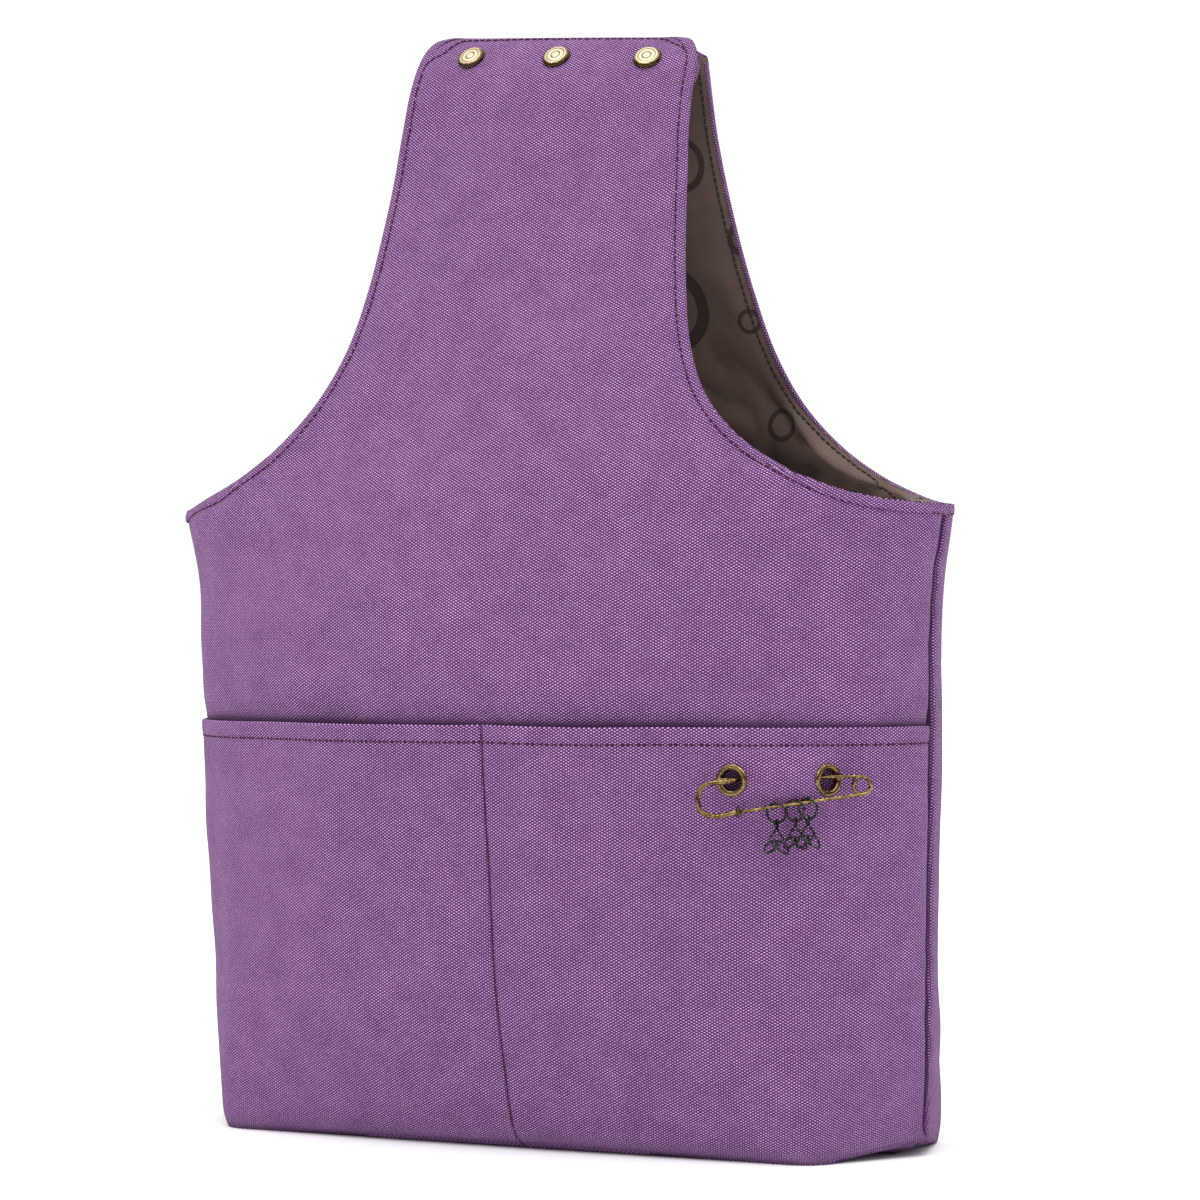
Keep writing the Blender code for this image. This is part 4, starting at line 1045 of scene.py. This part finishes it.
def sewn_panel(name, panel, replaced, replaced_lining, attach):
    """One panel's canvas, lining, turned edge and two rows of stitches, each put on its bodies."""
    left, right = (panel.grid[panel.corner:, end] for end in (0, -1))
    border = Border(panel, np.concatenate([left, panel.grid[-1, 1:-1], right[::-1]]))
    shell, liner, liner_tree = cloth_layers(name, panel, border, replaced, replaced_lining)
    attach(shell)
    attach(liner)
    turned_edge = border.band("turned_edge_" + name, canvas, BAND)
    attach(turned_edge)
    sewn = border.line(STITCH_INSET, -0.02)
    outside = stitches("stitches_" + name + "_outside", *sewn, thread)
    inside = stitches("stitches_" + name + "_inside", *panel.on_lining(sewn, liner_tree), brown_thread,
                      LINING_STITCH_RADIUS)
    for row in (outside, inside):
        attach(row)


# ---------------------------------------------------------------- pocket

def pin_point(x, level, z):
    """A point in the pin's own frame: along the pocket, out of it, and up."""
    return PIN_ORIGIN + ALONG * x + OUT * level + UP * z


def hump(x, z):
    """How far the cloth between the eyelets is pushed out by the pin behind it."""
    across = 1.0 - smooth_step((np.abs(x) - (EYELET_REACH - HUMP_REACH)) / (2 * HUMP_REACH))
    return HUMP_RISE * across * np.exp(-((z / HUMP_HEIGHT) ** 2))


def with_hump(grid):
    """The pocket's cloth, raised between the eyelets and flat where each of them is set."""
    offset = grid - PIN_ORIGIN
    x, level, z = offset @ ALONG, offset @ OUT, offset[:, :, 2]
    near = (np.abs(x) < 45.0) & (level > -25.0)
    wanted = level + hump(x, z)
    for way in (-1.0, 1.0):
        plane = -way * (x - way * EYELET_REACH) * math.tan(EYELET_SLOPE)
        radius = np.hypot((x - way * EYELET_REACH) / math.cos(EYELET_SLOPE), z)
        flat = 1.0 - smooth_step((radius - FLAT_RADIUS) / FLAT_FADE)
        wanted = wanted + (plane - wanted) * flat
    rise = np.where(near, wanted - level, 0.0)
    return grid + rise[:, :, None] * OUT


def eyelet_matrix(way):
    """Where an eyelet sits: -1 is the left one and 1 the right."""
    normal = OUT * math.cos(EYELET_SLOPE) + ALONG * (way * math.sin(EYELET_SLOPE))
    return facing(pin_point(way * EYELET_REACH, 0.0, 0.0), normal)


def pocket_columns(line):
    """Columns of the pocket, close together at the sides, the divider and the pin."""
    run = run_along(line)
    divider, end = np.interp(DIVIDER_X, line[:, 0], run), run[-1]
    pin_from, pin_to = end - PIN_ZONE[0], end - PIN_ZONE[1]
    marks = [EDGE_MARKS, np.linspace(EDGE_MARKS[-1], divider - 10.0, 45)[1:-1],
             divider + np.linspace(-10.0, 10.0, 17), np.linspace(divider + 10.0, pin_from, 22)[1:-1],
             np.linspace(pin_from, pin_to, 62), np.linspace(pin_to, end - EDGE_MARKS[-1], 8)[1:-1],
             end - EDGE_MARKS[::-1]]
    return respaced(line, np.concatenate(marks) / end)


def make_pocket():
    """The pocket with its hem, divider, seams and eyelet holes. Returns its inner face."""
    stations = [(0.8, 49.0, 165.1), *POCKET_BODY[1:]]
    levels = [pocket_columns(body_line(*station, -1)) for station in stations]
    near_pin = [1.5 if station[0] >= 110.0 else STEP for station in stations[:-1]]
    grid, _ = refined(levels, near_pin, None, (3.2, 2.2, 1.4, 0.8, 0.4, 0.15))
    cloth = cloth_coordinates(grid)
    z = grid[:, :, 2]
    run, length = row_distance(grid)
    from_end = np.minimum(run, length - run)
    normals = inward(grid, -1)
    free = smooth_step((from_end - 4.0) / 50.0) * smooth_step((z - 8.0) / 45.0)
    offset = grid - PIN_ORIGIN
    at_pin = np.exp(-((offset @ ALONG) / 40.0)**2 - (z - PIN_ORIGIN[2])**2 / 30.0**2)
    at_pin *= offset @ OUT > -30.0
    swell = 0.9 * waves(cloth, 31, 110.0) + 0.35 * waves(cloth, 32, 42.0)
    seam, painted_shade = seam_pull(from_end, z)
    # The divider's stitches draw the pocket in, most at the mouth.
    away = np.abs(grid[:, :, 0] - DIVIDER_X)
    drawn = 0.7 * np.exp(-away / 1.6) + 1.5 * np.exp(-(away / 16.0)**2)
    drawn *= smooth_step((z - 6.0) / 40.0)
    drawn += 1.6 * np.exp(-(away / 7.0)**2) * smooth_step((z - 150.0) / 22.0)
    from_top = z.max() - z
    # The turned hem is a cloth thicker and rounds over at the mouth.
    hem = smooth_step((HEM_DEPTH + 0.8 - from_top) / 1.4)
    line = 0.22 * np.exp(-((from_top - HEM_DEPTH) / 0.9)**2)
    edge = np.clip(1.0 - from_top / 1.2, 0.0, 1.0)
    round_off = 0.95 * (1.0 - np.sqrt(np.maximum(1.0 - edge**2, 0.0)))
    push = swell * free * (1.0 - at_pin) + seam + drawn + line - 0.35 * hem
    grid = grid + normals * push[:, :, None]
    grid = with_hump(grid)
    normals = true_inward(grid, -1)
    side_fade = smooth_step(from_end / 10.0)
    outer = grid + normals * round_off[:, :, None]
    thick = POCKET_CLOTH + 0.8 * hem * side_fade - 0.8 * round_off
    inner = grid + normals * thick[:, :, None]
    for points in (outer, inner):
        points[:, :, 1] = np.minimum(points[:, :, 1], 0.0)
    # Painted shade along the divider's stitching and the hem's stitch line.
    painted_shade = np.maximum(painted_shade, 0.40 * np.exp(-(away / 0.8)**2) * smooth_step((z - 2.0) / 10.0))
    painted_shade = np.maximum(painted_shade, 0.25 * np.exp(-((from_top - HEM_DEPTH) / 0.6)**2))
    pocket = sheet_mesh("canvas_pocket", outer, inner, cloth, canvas, painted_shade)
    for side, way in (("left", -1.0), ("right", 1.0)):
        cutter = turned("cutter_" + side, ((0.0, -8.0), (4.9, -8.0), (4.9, 8.0), (0.0, 8.0)), canvas,
                        eyelet_matrix(way), 48)
        hole = pocket.modifiers.new("hole_" + side, "BOOLEAN")
        hole.operation = "DIFFERENCE"
        hole.solver = "EXACT"
        hole.object = cutter
    graph = bpy.context.evaluated_depsgraph_get()
    cut = bpy.data.meshes.new_from_object(pocket.evaluated_get(graph))
    pocket.modifiers.clear()
    pocket.data = cut
    for side in ("left", "right"):
        bpy.data.objects.remove(bpy.data.objects["cutter_" + side], do_unlink=True)
    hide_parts("pocket_panel", "pocket_divider_stitching")
    on_bag(pocket)
    top = int(np.argmin(np.abs(from_top[:, 60] - HEM_DEPTH)))
    row = stitches("stitches_hem", outer[top, 2:-2], normals[top, 2:-2], thread)
    on_bag(row)
    path, normal = [], []
    for i in range(grid.shape[0]):
        x = outer[i, :, 0]
        path.append([np.interp(DIVIDER_X, x, outer[i, :, k]) for k in range(3)])
        normal.append([np.interp(DIVIDER_X, x, normals[i, :, k]) for k in range(3)])
    path, normal = np.array(path)[:-3], np.array(normal)[:-3]
    row = stitches("stitches_divider", path, normal, thread)
    on_bag(row)
    return grid_tree(inner)


behind_pocket = make_pocket()
front = Panel(body_stations(FRONT_DEPTHS), strap_stations(FRONT_STRAP_DEPTHS) + SNAP_TAB[1:], -1, 11,
              behind=behind_pocket)
back = Panel(body_stations(BACK_DEPTHS), back_stations(), 1, 21)

sewn_panel("front", front, ("front_panel", "snap_tab"), ("front_lining", "snap_tab_lining"), on_bag_and_tab)
sewn_panel("back", back, ("back_panel",), ("back_lining",), on_bag)


# ---------------------------------------------------------------- metal

def fitted(obj, node, body):
    """Puts a metal piece on its body in place of the CAD's."""
    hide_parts(node)
    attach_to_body(obj, body)


def snap_matrix(index):
    """Where a snap sits on the tab."""
    low, high = SNAP_TAB[SNAP_ROW - 1], SNAP_TAB[SNAP_ROW + 1]
    slope = Vector((0.0, low[0] - high[0], high[1] - low[1]))
    row = strap_line(SNAP_TAB[SNAP_ROW], -1)
    x = SNAP_MIDDLE_X + (index - 1) * SNAP_SPACING
    left, middle, right = (
        Vector([np.interp(at, row[:, 0], row[:, i]) for i in range(3)])
        for at in (x - CAP_RADIUS, x, x + CAP_RADIUS))
    return facing(middle, (right - left).cross(slope), (1.0, 0.0, 0.0))


def make_snaps():
    """Three snaps: the cap and socket on the tab, the stud and back ring on the back strap."""
    top, foot, under = -LAYERS - 0.2, -TUCK + 0.3, -TUCK - LAYERS - 0.7
    cap = [(0.0, 2.30), (0.9, 2.30), (1.5, 2.27), (1.75, 2.10), (2.05, 2.10), (2.3, 2.24), (3.2, 2.18),
           (3.55, 2.00), (3.8, 2.00), (4.05, 2.10), (4.9, 1.90), (5.5, 1.55), (5.9, 1.10), (6.0, 0.75),
           (5.95, 0.45), (5.75, 0.25), (5.2, 0.2), (0.0, 0.2)]
    socket = [(2.7, top), (4.6, top), (4.7, top - 0.4), (4.5, top - 0.9), (3.9, top - 1.15),
              (3.2, top - 1.15), (2.8, top - 0.9)]
    stud = [(0.0, foot), (4.0, foot), (4.1, foot + 0.3), (3.6, foot + 0.55), (1.75, foot + 0.6),
            (1.65, foot + 0.9), (1.9, foot + 1.2), (1.8, foot + 1.6), (1.1, foot + 1.85), (0.0, foot + 1.9)]
    ring = [(1.6, under), (4.1, under), (4.2, under - 0.4), (3.7, under - 0.8), (2.1, under - 0.8),
            (1.6, under - 0.5)]
    for index in range(3):
        matrix, number = snap_matrix(index), "_" + str(index + 1)
        for name, profile, metal, body in (("cap", cap, cap_brass, "tab"), ("socket", socket, brass, "tab"),
                                           ("stud", stud, brass, "bag"), ("back_ring", ring, brass, "bag")):
            fitted(turned(name + number, profile, metal, matrix), "snap_" + name + number, body)


def make_eyelets():
    """The two eyelets and their washers."""
    for side, way in (("left", -1.0), ("right", 1.0)):
        matrix = eyelet_matrix(way)
        back_face = -POCKET_CLOTH - 0.4
        roll = [(5.3 + 1.15 * math.cos(a), 0.45 + 0.75 * math.sin(a)) for a in np.linspace(-0.5, math.pi, 12)]
        profile = [(4.25, back_face - 0.5), (4.65, back_face - 0.5), (4.65, 0.15), (6.2, 0.15)] + roll
        profile += [(4.1, -0.2), (4.2, -0.9)]
        fitted(turned("grommet_" + side, profile, brass, matrix), "eyelet_" + side, "bag")
        washer = [(4.95, back_face - 0.5), (6.2, back_face - 0.45), (6.4, back_face - 0.2), (6.3, back_face),
                  (4.95, back_face)]
        fitted(turned("grommet_washer_" + side, washer, brass, matrix), "eyelet_washer_" + side, "bag")


def rail_direction():
    """The slope of the pin's rail, which meets the coil without a kink."""
    dx, dz = COIL_CENTRE[0] - COLLAR_AT[0], COIL_CENTRE[1] - COLLAR_AT[1]
    return math.atan2(dz, dx) - math.asin(COIL_RADIUS / math.hypot(dx, dz))


def rail_point(x):
    """A point of the rail, in the pin's own frame."""
    angle = rail_direction() - math.pi / 2
    end = (COIL_CENTRE[0] + COIL_RADIUS * math.cos(angle), COIL_CENTRE[1] + COIL_RADIUS * math.sin(angle))
    share = (x - COLLAR_AT[0]) / (end[0] - COLLAR_AT[0])
    return (x, COLLAR_LEVEL + (RAIL_LEVEL - COLLAR_LEVEL) * share,
            COLLAR_AT[1] + (end[1] - COLLAR_AT[1]) * share)


def coil_points(start, turn, level, steps=56):
    """Part of a turn of the pin's coil, in the pin's own frame."""
    angle = start + turn * np.arange(steps + 1) / steps
    return [(COIL_CENTRE[0] + COIL_RADIUS * math.cos(a), level, COIL_CENTRE[1] + COIL_RADIUS * math.sin(a))
            for a in angle]


def make_pin():
    """The kilt pin: arm, rail, head and collar."""
    top = COIL_CENTRE[1] + COIL_RADIUS
    arm = list(curve_through([(-26.0, 0.3, 0.2), (-23.0, 0.0, 0.3), (-19.0, -0.5, 0.4), (-14.2, -1.2, 0.6),
                              (-4.0, -2.0, 0.8), (5.0, -2.0, 0.9), (14.2, -1.2, 1.1), (19.0, -0.4, 1.2),
                              (23.5, 0.7, top - 0.1), (28.0, 2.0, top)], 6))
    arm += coil_points(math.pi / 2, -1.75 * math.pi, ARM_COIL_LEVEL)
    radii = [0.15 + 0.55 * min(1.0, i / 12.0) for i in range(len(arm))]
    fitted(wire("arm", [pin_point(*p) for p in arm], radii, brass), "pin_arm", "bag")
    rail = [rail_point(x) for x in np.linspace(COLLAR_AT[0] + 0.9, 28.0, 24)]
    rail += coil_points(rail_direction() - math.pi / 2, 1.75 * math.pi, RAIL_LEVEL)
    fitted(wire("rail", [pin_point(*p) for p in rail], WIRE, brass), "pin_rail", "pin_bar")
    level, tip = COLLAR_LEVEL, 3.6
    route = [(COLLAR_AT[0] - 0.9, level, COLLAR_AT[1] - 0.1), (-22.0, level, -13.3), (-27.0, level, -13.9),
             (-31.5, level - 0.1, -12.0), (-33.0, level - 0.3, -7.4), (-31.3, tip, -2.6),
             (-27.0, tip, -0.8), (-22.5, tip, -0.6), (-18.2, tip, 0.3)]
    points = curve_through(route, 12)
    radii = [HEAD_WIRE * min(1.0, 0.62 + 0.38 * (len(points) - 1 - i) / 10.0) for i in range(len(points))]
    fitted(wire("head", [pin_point(*p) for p in points], radii, brass, 20), "pin_head", "pin_bar")
    angle = rail_direction()
    normal = ALONG * math.cos(angle) + UP * math.sin(angle)
    collar = [(0.0, -0.75), (1.5, -0.75), (2.1, -0.5), (2.35, 0.0), (2.1, 0.5), (1.5, 0.75), (0.0, 0.75)]
    fitted(turned("collar", collar, brass, facing(pin_point(*rail_point(COLLAR_AT[0])), normal), 40),
           "pin_collar", "pin_bar")


def leaf(start, lean, length, width, steps=14):
    """A closed leaf outline from its stalk."""
    line = []
    for i in range(2 * steps):
        t = i / steps if i < steps else 2.0 - i / steps
        side = 1.0 if i < steps else -1.0
        bulge = side * width * math.sin(math.pi * t) ** 0.8 * (1.0 - 0.25 * t)
        x, z = bulge, -length * t
        line.append((start[0] + x * math.cos(lean) - z * math.sin(lean),
                     start[1] + x * math.sin(lean) + z * math.cos(lean)))
    return line


def charm_shapes(size):
    """The outlines of a charm: a lozenge and two leaves."""
    lozenge = [(0.0, -0.1), (1.5, -2.2), (3.0, -4.4), (1.5, -6.4), (0.0, -8.4), (-1.5, -6.4), (-3.0, -4.4),
               (-1.5, -2.2)]
    shapes = [lozenge, leaf((-0.3, -5.2), -0.80, 6.6, 2.1), leaf((0.3, -5.2), 0.80, 6.6, 2.1)]
    return [[(x * size, z * size) for x, z in shape] for shape in shapes]


def circle(centre, across, radius, steps):
    """An upright circle."""
    angle = np.linspace(0, 2 * math.pi, steps, endpoint=False)[:, None]
    return centre + (across * np.cos(angle) + UP * np.sin(angle)) * radius


def make_markers():
    """Three rings on the pin's rail, each with a charm."""
    for index, (x, turn, size) in enumerate(MARKERS):
        number = str(index + 1)
        ring_x, level, rail_z = rail_point(x)
        drop = RING_MEAN - RING_WIRE - WIRE - 0.12
        centre = pin_point(ring_x, level, rail_z - drop)
        flat = ALONG * math.cos(math.radians(turn)) + OUT * math.sin(math.radians(turn))
        loop = circle(centre, flat, RING_MEAN, 64)
        fitted(wire("ring_" + number, loop, RING_WIRE, bronze, 12, ring=True),
               "marker_ring_" + number, "marker_" + number)
        across = np.cross(flat, UP)
        small = 1.5 * size
        top = centre - UP * RING_MEAN - UP * (small - RING_WIRE - CHARM_WIRE - 0.1)
        eye = wire("charm_" + number, circle(top, across, small, 40), CHARM_WIRE, bronze, 10, ring=True)
        fitted(eye, "marker_charm_" + number, "charm_" + number)
        start = top - UP * small
        for shape, label in zip(charm_shapes(size), ("lozenge_", "leaf_left_", "leaf_right_")):
            points = [start + flat * px + UP * pz for px, pz in shape]
            piece = wire("charm_" + label + number, points, CHARM_WIRE, bronze, 10, ring=True)
            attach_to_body(piece, "charm_" + number)


make_snaps()
make_eyelets()
make_pin()
make_markers()


# ---------------------------------------------------------------- stage, light and camera

BACKDROP = 1.1
LIGHT_POWER = 1.45
LIGHT_SPREAD = math.radians(70.0)
LIGHT_TRAVELS = (-0.12, 0.48, -0.87)
FLOOR_REACH = 20000
CAMERA_AT = (0.7684, -1.5081, 0.2146)
CAMERA_TURN = math.radians(27.0)
LENS = 120.9
SHIFT = (0.0317, 0.0183)


def make_stage():
    """The floor, the room's light and a soft light from above."""
    look = Look("pale_floor")
    grain = look.noise(look.place(), 3.0, 2.0)
    colour = look.mix(grain, (0.93, 0.93, 0.935, 1.0), (0.95, 0.95, 0.955, 1.0))
    floor_look = look.set(Base_Color=colour, Roughness=0.7, Specular_IOR_Level=0.2)
    corners = [(x * FLOOR_REACH, y * FLOOR_REACH, 0) for x, y in ((-1, -1), (1, -1), (1, 1), (-1, 1))]
    floor = put("floor", corners, [(0, 1, 2, 3)], floor_look, smooth=False)
    # A white sweep for the camera; the metal mirrors a room that is bright above and dim at eye level.
    world = bpy.data.worlds.new("studio")
    bpy.context.scene.world = world
    world.use_nodes = True
    tree = world.node_tree
    background = tree.nodes["Background"]
    direction = tree.nodes.new("ShaderNodeTexCoord")
    parts = tree.nodes.new("ShaderNodeSeparateXYZ")
    tree.links.new(direction.outputs["Generated"], parts.inputs[0])
    seen = tree.nodes.new("ShaderNodeLightPath")

    def rise(low, high, dim, bright):
        """The room's brightness, from dim low down to bright high up."""
        node = tree.nodes.new("ShaderNodeMapRange")
        node.interpolation_type = "SMOOTHSTEP"
        for value, socket in zip((low, high, dim, bright), node.inputs[1:5]):
            socket.default_value = value
        tree.links.new(parts.outputs[2], node.inputs[0])
        return node.outputs[0]

    def choose(ray, plain):
        """The plain brightness, and for this kind of ray another, which is linked or set later."""
        node = tree.nodes.new("ShaderNodeMix")
        tree.links.new(seen.outputs[ray], node.inputs[0])
        tree.links.new(plain, node.inputs[2])
        return node

    shiny = choose("Is Glossy Ray", rise(-0.1, 0.8, 0.30, 1.55))
    tree.links.new(rise(0.05, 0.80, 0.07, 2.0), shiny.inputs[3])
    pick = choose("Is Camera Ray", shiny.outputs[0])
    pick.inputs[3].default_value = BACKDROP
    tree.links.new(pick.outputs[0], background.inputs[1])
    background.inputs[0].default_value = (1.0, 1.0, 1.0, 1.0)
    data = bpy.data.lights.new("softbox", "SUN")
    data.energy = LIGHT_POWER
    data.angle = LIGHT_SPREAD
    light = bpy.data.objects.new("softbox", data)
    bpy.context.scene.collection.objects.link(light)
    light.rotation_mode = "QUATERNION"
    light.rotation_quaternion = Vector(LIGHT_TRAVELS).to_track_quat("-Z", "Y")
    bpy.context.scene.view_settings.view_transform = "Standard"


def make_camera():
    """The camera, level and turned to the right of the bag's front."""
    data = bpy.data.cameras.new("camera")
    camera = bpy.data.objects.new("camera", data)
    bpy.context.scene.collection.objects.link(camera)
    camera.location = CAMERA_AT
    direction = Vector((-math.sin(CAMERA_TURN), math.cos(CAMERA_TURN), 0.0))
    camera.rotation_mode = "QUATERNION"
    camera.rotation_quaternion = direction.to_track_quat("-Z", "Y")
    data.sensor_width = 36.0
    data.lens = LENS
    data.shift_x, data.shift_y = SHIFT
    data.clip_start = 0.05
    data.clip_end = 100.0
    bpy.context.scene.camera = camera


make_stage()
make_camera()
